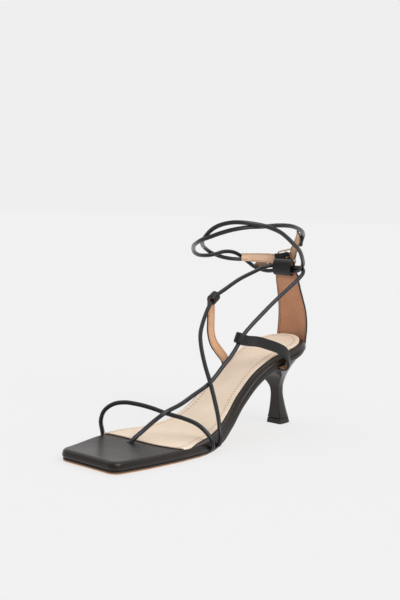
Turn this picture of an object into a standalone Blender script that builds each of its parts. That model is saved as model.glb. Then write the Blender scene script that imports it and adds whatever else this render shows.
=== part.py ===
"""Left shoe of a strappy square-toe sandal on a flared heel, size 38 (EU).

Frame: toe towards -Y, outer (lateral) side of the foot at +X, +Z up, floor at Z = 0.
Tables are in millimetres; meshes are made in metres.
"""
import math

import bmesh
import bpy
import numpy as np

for old in list(bpy.data.objects):
    bpy.data.objects.remove(old, do_unlink=True)

MM = 0.001
CENTRE = np.array((-3.14, -5.42, 0.0))   # middle of the shoe's box in the drawing frame, moved to the origin
GAP = 0.3                             # clearance between touching pieces

# Sole outline and underside, toe to heel
SOLE_STATIONS = (
    # y, medial, lateral, under
    (-124.5, -22.6, 31.1, 0.5),
    (-108.0, -27.0, 32.8, 0.15),
    (-92.0, -31.6, 34.4, 0.0),
    (-78.0, -35.0, 35.4, 0.0),
    (-62.0, -37.0, 36.0, 0.0),
    (-46.0, -36.4, 35.8, 0.0),
    (-30.0, -33.4, 34.2, 1.1),
    (-14.0, -28.8, 30.8, 4.8),
    (2.0, -24.6, 26.2, 12.4),
    (20.0, -22.2, 22.2, 25.8),
    (40.0, -21.8, 20.8, 39.6),
    (60.0, -22.8, 22.2, 49.4),
    (84.0, -24.8, 25.6, 56.4),
    (112.0, -24.8, 25.6, 63.4),
)
TOE_FRONT = -124.5
TOE_CORNER = 6.5        # plan radius of the square toe's corners
SEAT_ARC_START = 82.0   # where the round of the heel seat begins
SEAT_BACK = 110.0
OUTSOLE_THICK = 2.0
OUTSOLE_INSET = 0.4
OUTSOLE_END = 60.5      # stops at the heel's breast
FOOTBED_THICK = 6.0
FOOTBED_ROUNDS = (
    # y, radius of the top edge, fuller at the toe and along the arch and seat
    (-124.5, 3.2), (-100.0, 2.7), (-75.0, 2.2), (-56.0, 2.2), (-40.0, 3.8), (-20.0, 4.4), (112.0, 4.4),
)
FOOTBED_ROUND_UNDER = 1.2
INSOLE_THICKS = ((-72.0, 0.9), (40.0, 0.9), (75.0, 1.7), (112.0, 1.7))      # y, thickness, padded at the seat
INSOLE_FRONT = -68.6    # where its bowed front edge crosses the middle
INSOLE_BEND = (-0.03, 0.0022, 0.00012)       # how far that edge falls back, by powers of x
INSOLE_BEND_REACH = 40.0
INSOLE_DRAPE = ((0.7, 0.1), (2.0, 0.25))     # points near its sides: distance in, largest share of the width
INSOLE_INSETS = (
    # y, inset from the footbed's medial edge, from its lateral edge
    (-72.0, 0.6, 0.6), (-62.0, 0.6, 0.7), (-53.0, 0.9, 2.8), (-44.0, 2.5, 5.8), (-35.0, 4.8, 6.8),
    (-20.0, 5.2, 7.0), (10.0, 4.0, 7.0), (40.0, 3.0, 6.6), (84.0, 2.4, 5.6), (112.0, 2.8, 5.6),
)
TOE_SLIT = (-2.6, -76.4)     # hole in the toe cover for the long cord
TOE_SLIT_RADIUS = 2.3
TOE_SLIT_FLOOR = 4.0

# Heel sections from the tip up: the upper ones have no straight sides and a rounder back
HEEL_X = 1.2
HEEL_SECTIONS = (
    # z, lean, front, back, half width, share of straight side, power of the round back
    (4.6, 0.0, 85.6, 100.8, 6.5, 0.42, 2.7),
    (10.0, 0.0, 85.8, 98.6, 5.5, 0.42, 2.7),
    (18.0, 0.0, 85.7, 95.7, 4.5, 0.42, 2.7),
    (25.0, 0.0, 85.2, 93.7, 3.95, 0.42, 2.7),
    (30.0, 0.02, 84.2, 93.3, 4.4, 0.38, 2.6),
    (35.0, 0.06, 82.0, 92.8, 6.7, 0.28, 2.4),
    (40.0, 0.13, 79.2, 93.9, 10.0, 0.16, 2.2),
    (44.5, 0.19, 75.5, 95.5, 13.7, 0.1, 2.1),
    (48.5, 0.24, 71.1, 99.1, 16.6, 0.1, 2.1),
    (52.0, 0.26, 66.9, 102.8, 19.0, 0.14, 2.2),
)
HEEL_TOP_FRONT = 61.2
HEEL_TOP_BACK = 108.9
HEEL_TOP_HALF = 30.0     # wider than the seat, whose outline trims it
HEEL_TOP_DROPS = ((2.6, 3.2), (0.8, 1.0), (0.0, 0.8))    # depth below the seat, inset from its edge
TIP_HEIGHT = 4.3
TIP_SECTION = (85.4, 102.4, 7.0, 0.42, 2.7)      # on the floor, from the front on

# Round leather cords
CORD_DIAMETER = 3.2
CORD_STEP = 5.0

TOE_CORD = (
    # x, y, z from the medial edge over the toes to the lateral edge
    (-38.6, -68.2, 4.0), (-38.6, -68.7, 10), (-38.2, -71, 17.5), (-35.6, -70.8, 25), (-29.8, -67.7, 30.4),
    (-22, -64, 32.6), (-13, -59, 32), (-4, -54, 30), (6, -49, 27), (17, -43, 24.4), (25.5, -38.5, 21),
    (32, -35.8, 16), (36, -34, 10.5), (36.9, -33.5, 4.6),
)
LATERAL_CORD = (
    # x, y, z from the lateral edge over the instep to the heel counter's loop
    (35.9, -24.8, 5.2), (35.9, -24.6, 11), (33, -22.5, 18.5), (27, -18, 27), (18.5, -12.8, 37.2),
    (11.6, -9.2, 45.9), (1.5, -4, 57.5), (-7, 1, 69.5), (-12.3, 6, 78), (-18, 16.5, 89),
    (-21, 25.5, 98), (-22, 31.5, 103.5), (-22, 45, 109.8), (-21, 62, 117.4), (-19, 79, 123.4),
    (-17.3, 89, 126.8), (-13.4, 95.2, 128.2), (-0.5, 95.8, 126.2), (9, 95.6, 125),
    (15.5, 93.4, 126.8), (21.5, 88.5, 131),
)
LONG_CORD = (
    # x, y, z from the slit in the toe cover along the instep to the heel counter's loop
    (-2.6, -76.4, 4.8), (-2.4, -75.6, 9), (0.3, -66.6, 16.4), (3.2, -59, 22.4), (6.6, -51, 28),
    (7.6, -36, 32.4), (8.5, -23.7, 37.5), (9.9, -7, 45.2), (11.5, 7.4, 57.8), (12.4, 14.2, 64),
    (13.2, 20.2, 71.4), (13.7, 23.3, 75.7), (14.2, 26.2, 79.6), (17, 50, 97.6), (19.5, 71, 111.5),
    (21.2, 83, 119.4),
    (20.9, 90.3, 124.6), (17, 94.2, 127.8), (9, 95.8, 128), (-0.5, 95.8, 126.6), (-9, 95.6, 124.9),
)

# Ankle ring: an ellipse in plan, with height and outward offset by angle (0 = lateral, 90 = back)
RING_CENTRE = (-3.0, 49.5)
RING_RADII = (39.5, 52.0)
LATERAL_CORD_RING = (
    # angle, z, offset from the counter round the lateral side and front to the buckle strap
    (30, 137.6, -1.2), (16, 143.6, 0), (5, 148.2, 0.6), (-14, 157.2, 1.3), (-30, 161.7, 1.3),
    (-45, 163.6, 1.0), (-60, 163.7, 0.5), (-73, 161.4, 0), (-83, 157.8, -0.6), (-92, 153, -1.6),
    (-103, 148.9, -4.2), (-118, 146.9, -7.6), (-134, 145.4, -9), (-148, 144.4, -7.6),
    (-162, 143.4, -3.6), (-172, 141.2, -0.8), (-180, 138.6, 0.6), (-187, 136.5, 1.3),
    (-195, 134.4, 0.8), (-205, 132.9, 0.2), (-214.5, 132.4, 0),
)
LONG_CORD_RING = (
    # angle, z, offset from the counter round the medial side and front to the hole strap
    (113, 123.6, -2), (121, 124.2, 1.6), (128.5, 126.4, 3.2), (136, 130.8, 3.4), (143, 135.2, 3.2),
    (150, 137.8, 1.6), (157, 138.7, 0.2), (165, 138.4, -0.6), (173, 136.9, -1.3), (181, 135.9, -1),
    (189, 135.7, -0.4), (198, 136.4, 0), (207, 138.4, 0), (214, 140.7, -0.6), (225, 143, -2),
    (239, 145.2, -2), (254, 147.3, -0.4), (266, 149.9, 1.3), (277, 152.5, 1), (287, 155.3, 0.4),
    (300, 158.3, 0), (315, 160.5, -0.8), (330, 161.3, -1.3), (344, 162.4, -1), (360, 162.2, -0.8),
    (375, 160.2, -1.4), (390, 157.8, -2), (405, 156, -2.6), (415, 155.2, -2.4),
)
LONG_CORD_END = (
    # x, y, z of the end sewn along the outside of the hole strap
    (16.9, 94.0, 155.1), (14.3, 96.8, 152.1), (11.9, 98.7, 148.8), (10.3, 100.5, 146.1),
)

# Flat straps, two layers of leather
STRAP_THICK = 1.6
SIDE_STRAP_WIDTH = 8.0
LOOP_CLEARANCE = 0.6
MEDIAL_STRAP = (
    # x, y, z, then the direction of the strap's width
    (-23.7, 51.6, 47.4, 0.0, 1.0, 0.2),
    (-23.9, 50.2, 53.0, 0.0, 1.0, 0.2),
    (-24.5, 43.6, 60.0, 0.0, 0.95, 0.3),
    (-25.0, 36.4, 68.0, 0.0, 0.95, 0.2),
    (-25.4, 33.4, 77.0, 0.0, 1.0, 0.1),
    (-25.4, 33.0, 86.0, 0.0, 1.0, 0.2),
)
LATERAL_STRAP = (
    (20.7, 68.3, 51.0, 0.0, 1.0, 0.25),
    (22.8, 68.2, 50.0, -0.1, 1.0, 0.25),
    (25.4, 68.1, 50.6, -0.25, 0.95, 0.22),
    (26.9, 68.0, 53.2, -0.38, 0.9, 0.2),
    (26.9, 67.4, 56.8, -0.3, 0.9, 0.32),
    (26.2, 65.6, 61.0, -0.1, 0.75, 0.65),
    (25.8, 61.8, 64.4, 0.0, 0.5, 0.85),
    (24.6, 56.0, 67.2, 0.0, 0.2, 1.0),
    (22.0, 47.6, 70.2, 0.0, 0.22, 1.0),
    (19.2, 37.0, 73.2, 0.0, 0.4, 0.95),
)
MEDIAL_LOOP = (11, -1, 0.0, 0.5)     # route point of the cord, side of the strap, upright turn, stretch
LATERAL_LOOP = (11, 1, 0.4, 1.6)
LOOP_LEAD = 3.0                      # straight run of a strap before its loop

COUNTER_THICK = 1.6
COUNTER_PROFILE = (
    # x, y, z, half width, plan sagitta at the strip's edge
    (0.0, 111.6, 61.5, 14.6, 5.0), (0.0, 112.3, 70.0, 14.9, 5.0), (0.0, 112.8, 78.0, 14.9, 4.8),
    (0.0, 112.2, 86.0, 14.5, 4.4), (0.0, 110.0, 94.0, 13.8, 3.6), (-0.3, 106.4, 103.0, 12.8, 2.5),
    (-0.6, 102.6, 111.0, 12.0, 1.2), (-0.9, 100.2, 117.0, 11.6, 0.4), (-1.1, 99.2, 121.6, 11.2, 0.0),
    (-2.0, 98.9, 125.0, 9.4, 0.0), (-2.2, 98.8, 129.6, 8.9, 0.0), (-2.2, 97.8, 132.4, 8.9, 0.0),
    (-2.2, 95.6, 133.6, 8.9, 0.0), (-2.2, 93.5, 132.4, 8.9, 0.0), (-2.2, 92.6, 129.6, 8.9, 0.0),
    (-2.2, 92.5, 126.0, 8.9, 0.0), (-2.2, 93.2, 123.0, 8.9, 0.0), (-2.2, 95.2, 121.6, 8.9, 0.0),
    (-2.2, 97.0, 121.4, 8.9, 0.0),
)

# Fastening at the back of the ring, straps threaded through a centre-bar buckle
FASTEN_THICK = 1.2
BUCKLE_STRAP_HALVES = (3.1, 4.5)     # half width at the cords' end, and at the buckle
HOLE_STRAP_HALF = 3.7
HOLE_STRAP_TURN = 0.6            # how far the hole strap turns its face to the back
BUCKLE_CENTRE = (-7.0, 106.0, 135.0)
BUCKLE_ALONG = (1.0, 0.2, 0.27)  # direction of the strap through the frame
BUCKLE_HALF = (7.0, 6.3)         # half distances between wire centres, along and across the strap
BUCKLE_CORNER = 1.6
BUCKLE_WIRE = 1.3
BUCKLE_BAR = 1.2
PRONG_WIRE = 1.0
PRONG_REACH = 0.9                # how far the prong passes the frame
FASTEN_GAP = 0.25
PRONG_SLOT = (2.6, 0.9, 4.0)     # half length, half width and depth of the slot in the buckle strap
HOLE_RADIUS = 0.8
BUCKLE_STRAP = (
    # angle, z, offset round the ring, before the buckle
    (143.5, 134.1, 0.0), (133, 134.0, 0.0), (123, 134.0, 0.0),
)
BUCKLE_STRAP_OUT = (
    # along, out, up from the buckle's centre: the outer layer up to the bar
    (-14.5, -5.2, 2.6), (-10.5, -3.9, 1.3), (-7.0, -3.1, 0.5), (-4.6, -2.1, 0.15), (-2.3, 0.4, 0.0),
)
BUCKLE_STRAP_BACK = (
    # the end turned back inside, from the bar
    (-2.3, -2.1, 0.0), (-4.7, -3.55, 0.2), (-6.6, -4.45, 0.4), (-8.6, -5.0, 0.8),
)
HOLE_STRAP = (
    # x, y, z from the end of the long cord down to the buckle
    (14.4, 91.4, 155.6), (11.5, 95.4, 151.7), (8.3, 98.1, 148.0), (5.3, 100.3, 144.6), (2.3, 102.3, 141.0),
)
HOLE_STRAP_THROUGH = (
    # along, out, up: inside the frame's near end, over its bar and under its far end
    (6.6, -2.0, 0.55), (3.5, 0.9, 0.24), (0.0, 3.3, 0.1), (-3.3, 1.9, 0.0), (-6.4, -1.35, 0.0),
    (-8.2, -1.5, 0.05), (-10.6, -1.7, 0.1),
)
HOLE_STRAP_TIP = (
    # angle, z, offset round the ring, outside the buckle strap
    (114, 129.6, 3.6), (121, 128.2, 4.8), (128, 126.9, 5.8),
)
SPARE_HOLES = ((-10.6, -1.7, 0.1), (-16.8, -3.1, -0.9))


def smooth(table, column):
    """Monotone cubic through one column of a table whose first column rises."""
    xs = np.array([row[0] for row in table], float)
    vs = np.array([row[column] for row in table], float)
    h = np.diff(xs)
    d = np.diff(vs) / h
    m = np.zeros_like(vs)
    for i in range(1, len(xs) - 1):
        if d[i - 1] * d[i] > 0:
            w1, w2 = 2 * h[i] + h[i - 1], h[i] + 2 * h[i - 1]
            m[i] = (w1 + w2) / (w1 / d[i - 1] + w2 / d[i])
    m[0], m[-1] = d[0], d[-1]

    def value(x):
        i = int(np.clip(np.searchsorted(xs, x) - 1, 0, len(h) - 1))
        t = (x - xs[i]) / h[i]
        return ((1 + 2 * t) * (1 - t) ** 2 * vs[i] + t * (1 - t) ** 2 * h[i] * m[i]
                + t * t * (3 - 2 * t) * vs[i + 1] + t * t * (t - 1) * h[i] * m[i + 1])

    return value


def curve_through(rows, step):
    """Points about a step apart on a smooth curve through the rows; extra columns ride along."""
    pts = np.array(rows, float)
    ends = np.vstack((2 * pts[0] - pts[1], pts, 2 * pts[-1] - pts[-2]))
    knots = np.concatenate(([0], np.cumsum(np.linalg.norm(np.diff(ends[:, :3], axis=0), axis=1) ** 0.5)))
    dense = []
    for i in range(1, len(ends) - 2):
        t0, t1, t2, t3 = knots[i - 1:i + 3]
        p0, p1, p2, p3 = ends[i - 1:i + 3]
        for t in np.linspace(t1, t2, 24, endpoint=False):
            a1 = p0 * (t1 - t) / (t1 - t0) + p1 * (t - t0) / (t1 - t0)
            a2 = p1 * (t2 - t) / (t2 - t1) + p2 * (t - t1) / (t2 - t1)
            a3 = p2 * (t3 - t) / (t3 - t2) + p3 * (t - t2) / (t3 - t2)
            b1 = a1 * (t2 - t) / (t2 - t0) + a2 * (t - t0) / (t2 - t0)
            b2 = a2 * (t3 - t) / (t3 - t1) + a3 * (t - t1) / (t3 - t1)
            dense.append(b1 * (t2 - t) / (t2 - t1) + b2 * (t - t1) / (t2 - t1))
    dense.append(pts[-1])
    dense = np.array(dense)
    run = np.concatenate(([0], np.cumsum(np.linalg.norm(np.diff(dense[:, :3], axis=0), axis=1))))
    count = max(2, int(round(run[-1] / step)) + 1)
    at = np.linspace(0, run[-1], count)
    return np.stack([np.interp(at, run, dense[:, k]) for k in range(dense.shape[1])], axis=1)


def ring_point(angle, z, offset):
    """A point of the ankle ring, pushed outward by the offset."""
    a = math.radians(angle)
    normal = np.array((math.cos(a) / RING_RADII[0], math.sin(a) / RING_RADII[1], 0.0))
    normal /= np.linalg.norm(normal)
    base = np.array((RING_CENTRE[0] + RING_RADII[0] * math.cos(a),
                     RING_CENTRE[1] + RING_RADII[1] * math.sin(a), z))
    return base + normal * offset


def ring_normal(point):
    n = np.array(((point[0] - RING_CENTRE[0]) / RING_RADII[0] ** 2,
                  (point[1] - RING_CENTRE[1]) / RING_RADII[1] ** 2, 0.0))
    return n / np.linalg.norm(n)


def unit(v):
    return np.asarray(v, float) / np.linalg.norm(v)


def material(name, colour, roughness, metallic=0.0):
    mat = bpy.data.materials.new(name)
    mat.use_nodes = True
    shader = mat.node_tree.nodes["Principled BSDF"]
    shader.inputs["Base Color"].default_value = (*colour, 1.0)
    shader.inputs["Roughness"].default_value = roughness
    shader.inputs["Metallic"].default_value = metallic
    return mat


parts = bpy.data.collections.new("high_heel_sandal")
cutters = bpy.data.collections.new("cutters")
bpy.context.scene.collection.children.link(parts)
bpy.context.scene.collection.children.link(cutters)

black_leather = material("black leather", (0.012, 0.011, 0.011), 0.42)
wrapped_leather = material("black wrapped leather", (0.014, 0.013, 0.013), 0.38)
lined_leather = material("black leather with tan lining", (0.02, 0.016, 0.014), 0.45)
sole_leather = material("sole leather", (0.42, 0.2, 0.09), 0.55)
sock_leather = material("beige sock leather", (0.74, 0.62, 0.48), 0.6)
heel_leather = material("black heel cover", (0.013, 0.012, 0.012), 0.34)
tip_rubber = material("black top piece", (0.02, 0.02, 0.02), 0.6)
pale_gold = material("pale gold", (0.83, 0.68, 0.42), 0.25, 1.0)


def add_mesh(name, verts, faces, mat, home=parts):
    """One object from points in millimetres, faces turned outward."""
    mesh = bpy.data.meshes.new(name)
    mesh.from_pydata([tuple((np.asarray(v) - CENTRE) * MM) for v in verts], [], faces)
    bm = bmesh.new()
    bm.from_mesh(mesh)
    bmesh.ops.recalc_face_normals(bm, faces=bm.faces)
    bm.to_mesh(mesh)
    bm.free()
    mesh.materials.append(mat)
    mesh.shade_smooth()
    mesh.set_sharp_from_angle(angle=math.radians(35))
    obj = bpy.data.objects.new(name, mesh)
    home.objects.link(obj)
    if home is cutters:
        obj.hide_render = True
        obj.display_type = "WIRE"
    return obj


def loft(name, rings, mat, closed=False, home=parts):
    """Skin a row of like rings; open rows get flat ends."""
    n = len(rings[0])
    verts = [p for ring in rings for p in ring]
    faces = []
    last = len(rings) if closed else len(rings) - 1
    for i in range(last):
        a, b = i * n, ((i + 1) % len(rings)) * n
        for k in range(n):
            faces.append((a + k, a + (k + 1) % n, b + (k + 1) % n, b + k))
    if not closed:
        faces.append(tuple(range(n)))
        faces.append(tuple(range(len(verts) - n, len(verts))))
    return add_mesh(name, verts, faces, mat, home)


def boolean(obj, other, operation):
    mod = obj.modifiers.new(other.name, "BOOLEAN")
    mod.operation = operation
    mod.object = other


def round_inset(depth, radius):
    """How far a rounded edge lies in, at a depth from the end it rounds."""
    if depth >= radius:
        return 0.0
    return radius - math.sqrt(max(0.0, radius ** 2 - (radius - depth) ** 2))


medial_edge = smooth(SOLE_STATIONS, 1)
lateral_edge = smooth(SOLE_STATIONS, 2)
underside = smooth(SOLE_STATIONS, 3)
top_round = smooth(FOOTBED_ROUNDS, 1)
insole_thick = smooth(INSOLE_THICKS, 1)
insole_medial = smooth(INSOLE_INSETS, 1)
insole_lateral = smooth(INSOLE_INSETS, 2)


def outline(y, inset=0.0):
    """Medial and lateral edge of the sole at a station, drawn in by an inset all round."""
    medial, lateral = medial_edge(y), lateral_edge(y)
    corner = round_inset(y - (TOE_FRONT + inset), TOE_CORNER)
    medial, lateral = medial + inset + corner, lateral - inset - corner
    if y > SEAT_ARC_START:
        reach = SEAT_BACK - inset - SEAT_ARC_START
        share = math.sqrt(max(0.0, 1 - ((y - SEAT_ARC_START) / reach) ** 2))
        middle = (medial + lateral) / 2
        medial, lateral = middle + (medial - middle) * share, middle + (lateral - middle) * share
    return medial, lateral


def stations(front, back, toe_round, seat_round, spacing=9.0):
    """Station list, closer together where the toe corners and the seat round off."""
    rows = []
    start, end = front, back
    if toe_round:
        rows += [front + TOE_CORNER * (1 - math.cos(a)) for a in np.radians((8, 26, 44, 62))]
        start = front + TOE_CORNER
    if seat_round:
        end = SEAT_ARC_START
    rows += list(np.linspace(start, end, int(round((end - start) / spacing)) + 1))
    if seat_round:
        rows += [end + (back - end) * math.sin(a) for a in np.radians((14, 28, 42, 54, 65, 75, 84))]
    return rows


def footbed_floor(y):
    return underside(y) + OUTSOLE_THICK + GAP


def footbed_top(y):
    return footbed_floor(y) + FOOTBED_THICK


def make_footbed():
    """Padded platform wrapped in leather, with rounded edges and the slit for the long cord."""
    def corner(x, z, sx, sz, radius):
        rows = ((1.0, 0.0), (0.29, 0.29), (0.0, 1.0))
        return [(x + sx * radius * u, z + sz * radius * v) for u, v in rows]

    rings = []
    for y in stations(TOE_FRONT, SEAT_BACK, True, True):
        medial, lateral = outline(y)
        end = min(y - TOE_FRONT, SEAT_BACK - y)
        radius = top_round(y)
        top = footbed_top(y) - round_inset(end, radius) * 0.8
        floor = footbed_floor(y) + round_inset(end, FOOTBED_ROUND_UNDER) * 0.6
        half = (lateral - medial) / 2
        rt, ru = min(radius, half * 0.45), min(FOOTBED_ROUND_UNDER, half * 0.3)
        ring = corner(medial, floor, 1, 1, ru) + corner(medial, top, 1, -1, rt)[::-1]
        ring += [(medial + rt + (lateral - medial - 2 * rt) * k, top) for k in (0.2, 0.4, 0.6, 0.8)]
        ring += corner(lateral, top, -1, -1, rt) + corner(lateral, floor, -1, 1, ru)[::-1]
        rings.append([(x, y, z) for x, z in ring])
    body = loft("footbed", rings, wrapped_leather)
    sides = 12
    slit = [[(TOE_SLIT[0] + TOE_SLIT_RADIUS * math.cos(2 * math.pi * k / sides),
              TOE_SLIT[1] + TOE_SLIT_RADIUS * 1.25 * math.sin(2 * math.pi * k / sides), z)
             for k in range(sides)] for z in (TOE_SLIT_FLOOR, footbed_top(TOE_SLIT[1]) + 4)]
    boolean(body, loft("toe slit", slit, wrapped_leather, home=cutters), "DIFFERENCE")


def make_outsole():
    """Thin leather sole from the toe to the heel's breast, with a flat tread at the ball."""
    rings = []
    for y in stations(TOE_FRONT + OUTSOLE_INSET, OUTSOLE_END, True, False):
        medial, lateral = outline(y, OUTSOLE_INSET)
        low = underside(y)
        rings.append([(medial + 0.6, y, low), (medial, y, low + 0.6), (medial, y, low + OUTSOLE_THICK),
                      (lateral, y, low + OUTSOLE_THICK), (lateral, y, low + 0.6), (lateral - 0.6, y, low)])
    loft("outsole", rings, sole_leather)


def make_insole():
    """Sock that covers the footbed behind the toe, with a bowed front edge; its sides follow the round."""
    rings = []
    end_inset = (insole_medial(SEAT_BACK) + insole_lateral(SEAT_BACK)) / 2
    for y in stations(INSOLE_FRONT, SEAT_BACK - end_inset, False, True):
        fade = max(0.0, 1 - (y - INSOLE_FRONT) / INSOLE_BEND_REACH)
        shift = (insole_medial(y) - insole_lateral(y)) / 2
        medial, lateral = outline(y, insole_lateral(y) + shift)
        medial, lateral = medial + shift, lateral + shift
        near, far = (min(step, share * (lateral - medial)) for step, share in INSOLE_DRAPE)
        across = np.linspace(medial + far, lateral - far, 5)
        row = []
        for x in (medial, medial + near, *across, lateral - near, lateral):
            back = y + fade * sum(bend * x ** (k + 1) for k, bend in enumerate(INSOLE_BEND))
            inner, outer = outline(back)
            drop = round_inset(max(0.0, min(x - inner, outer - x)), top_round(back))
            row.append((x, back, footbed_top(back) + GAP - drop))
        rings.append(row + [(x, y2, z + insole_thick(y2)) for x, y2, z in reversed(row)])
    loft("insole", rings, sock_leather)


def heel_section(front, back, half_width, side_share, back_power):
    """Plan of the heel: flat breast, straight sides, round back."""
    side = front + (back - front) * side_share
    power = 2 / back_power
    ring = [(HEEL_X - half_width * k, front) for k in (0.92, 0.33, -0.33, -0.92)]
    ring.append((HEEL_X + half_width, front + (back - front) * 0.06))
    for a in np.radians(np.linspace(0, 180, 13)):
        c, s = math.cos(a), math.sin(a)
        x = HEEL_X + half_width * math.copysign(abs(c) ** power, c)
        ring.append((x, side + (back - side) * s ** power))
    ring.append((HEEL_X - half_width, front + (back - front) * 0.06))
    return ring


def make_heel():
    """Flared heel: narrow waist, splayed tip, and a top that follows the heel seat."""
    rings = []
    for z, lean, *section in HEEL_SECTIONS:
        middle = (section[0] + section[1]) / 2
        rings.append([(x, y, z + lean * (y - middle)) for x, y in heel_section(*section)])
    for drop, inset in HEEL_TOP_DROPS:
        top = []
        for x, y in heel_section(HEEL_TOP_FRONT, HEEL_TOP_BACK - inset, HEEL_TOP_HALF, *TIP_SECTION[3:]):
            medial, lateral = outline(y, inset)
            top.append((min(max(x, medial), lateral), y, footbed_floor(y) - GAP - drop))
        rings.append(top)
    loft("heel", rings, heel_leather)
    tip = [(x, y, 0.0) for x, y in heel_section(*TIP_SECTION)]
    rings = [tip, [(x, y, TIP_HEIGHT) for x, y in heel_section(*HEEL_SECTIONS[0][2:])]]
    loft("heel_top_piece", rings, tip_rubber)


def cord_mesh(name, points, home):
    """A round cord along the points, as a closed mesh."""
    data = bpy.data.curves.new(name + " curve", "CURVE")
    data.dimensions = "3D"
    data.bevel_depth = CORD_DIAMETER / 2 * MM
    data.bevel_resolution = 2
    data.use_fill_caps = True
    spline = data.splines.new("POLY")
    spline.points.add(len(points) - 1)
    for slot, point in zip(spline.points, points):
        slot.co = (*((point - CENTRE) * MM), 1.0)
    curve = bpy.data.objects.new(name + " curve", data)
    bpy.context.scene.collection.objects.link(curve)
    bpy.context.view_layer.update()
    mesh = bpy.data.meshes.new_from_object(curve.evaluated_get(bpy.context.evaluated_depsgraph_get()))
    bpy.data.objects.remove(curve, do_unlink=True)
    bm = bmesh.new()
    bm.from_mesh(mesh)
    bmesh.ops.remove_doubles(bm, verts=bm.verts, dist=1e-6)
    bmesh.ops.recalc_face_normals(bm, faces=bm.faces)
    bm.to_mesh(mesh)
    bm.free()
    mesh.materials.clear()
    mesh.materials.append(black_leather)
    mesh.shade_smooth()
    obj = bpy.data.objects.new(name, mesh)
    home.objects.link(obj)
    if home is cutters:
        obj.hide_render = True
        obj.display_type = "WIRE"
    return obj


def cord_route(points, ring=(), end=()):
    return curve_through([*points, *(tuple(ring_point(*row)) for row in ring), *end], CORD_STEP)


def make_cords():
    """The upper: three round cords, joined where they cross."""
    upper = cord_mesh("crossed_cords", cord_route(LONG_CORD, LONG_CORD_RING, LONG_CORD_END), parts)
    lateral = cord_mesh("lateral cord", cord_route(LATERAL_CORD, LATERAL_CORD_RING), cutters)
    toe = cord_mesh("toe cord", cord_route(TOE_CORD), cutters)
    boolean(upper, lateral, "UNION")
    boolean(upper, toe, "UNION")


def ribbon(name, rows, half_widths, mat, thick=STRAP_THICK, across=2, home=parts):
    """A flat strap: rows hold a point and the direction of its width; half_widths one per row."""
    pts = np.array([row[:3] for row in rows], float)
    tangents = np.gradient(pts, axis=0)
    rings = []
    for point, tangent, row, half in zip(pts, tangents, rows, half_widths):
        t = unit(tangent)
        w = np.array(row[3:6], float)
        w = unit(w - t * np.dot(w, t))
        n = np.cross(t, w) * thick / 2
        line = [point + w * half * s for s in np.linspace(-1, 1, across)]
        rings.append([p + n for p in line] + [p - n for p in reversed(line)])
    return loft(name, rings, mat, home=home)


def loop_strap(name, rows, cord_rows, at, side, upright, stretch):
    """A side strap whose end folds round a cord; upright turns the fold from the cord to the vertical."""
    centre = np.array(cord_rows[at], float)
    axis = unit(np.array(cord_rows[at + 1], float) - np.array(cord_rows[at - 1], float))
    axis = unit(axis * (1 - upright) + np.array((0.0, 0.0, upright)))
    radius = CORD_DIAMETER / 2 + LOOP_CLEARANCE + STRAP_THICK / 2
    approach = centre - np.array(rows[-1][:3], float)
    approach = unit(approach - axis * np.dot(approach, axis))
    out = np.cross(axis, approach) * side
    arc = []
    for a in np.radians(np.arange(180, -66, -24)):
        arc.append((*(centre + radius * out * -math.cos(a)
                     + approach * (radius + stretch) * math.sin(a)), *axis))
    lead = centre + radius * out - approach * LOOP_LEAD
    smooth_rows = curve_through(list(rows) + [(*lead, *axis), arc[0]], 4.0)[:-1]
    body = [tuple(row) for row in smooth_rows] + arc
    ribbon(name, body, [SIDE_STRAP_WIDTH / 2] * len(body), lined_leather)


def make_counter():
    """Strip that stands round the back of the heel; its top folds forward into a loop for the cords."""
    profile = curve_through(COUNTER_PROFILE, 3.2)
    tangents = np.gradient(profile[:, 1:3], axis=0)
    rings = []
    for (x0, y, z, half, sagitta), (ty, tz) in zip(profile, tangents):
        n = unit((0.0, tz, -ty)) * COUNTER_THICK / 2
        line = [np.array((x0 + half * s, y - sagitta * s * s, z)) for s in np.linspace(-1, 1, 7)]
        rings.append([p + n for p in line] + [p - n for p in reversed(line)])
    loft("heel_counter", rings, lined_leather)


def fasten_rows(points, turn=0.0):
    """Rows of a flat strap along the ankle ring and through the buckle."""
    rows = []
    for point, tangent in zip(points, np.gradient(points, axis=0)):
        face = unit(ring_normal(point) + np.array((0.0, turn, 0.0)))
        width = np.cross(face, unit(tangent))
        rows.append((*point, *(width * math.copysign(1.0, width[2]))))
    return rows


def circle(centre, u, v, radius, sides):
    turns = [2 * math.pi * k / sides for k in range(sides)]
    return [centre + u * radius * math.cos(a) + v * radius * math.sin(a) for a in turns]


def rod(name, start, end, radius, mat, sides=10, home=parts):
    """A straight round rod between two points."""
    axis = unit(end - start)
    u = unit(np.cross(axis, (0.3, 0.2, 0.9)))
    v = np.cross(axis, u)
    return loft(name, [circle(start, u, v, radius, sides), circle(end, u, v, radius, sides)], mat, home=home)


def wire(name, points, radius, mat, closed=False, sides=8):
    """A round wire along the points, which lie in one plane."""
    count = len(points)
    face = unit(np.cross(points[1] - points[0], points[count // 2] - points[0]))
    rings = []
    for i in range(count):
        before = points[i - 1] if closed or i else points[0]
        after = points[(i + 1) % count] if closed or i < count - 1 else points[-1]
        rings.append(circle(points[i], np.cross(face, unit(after - before)), face, radius, sides))
    return loft(name, rings, mat, closed=closed)


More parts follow.
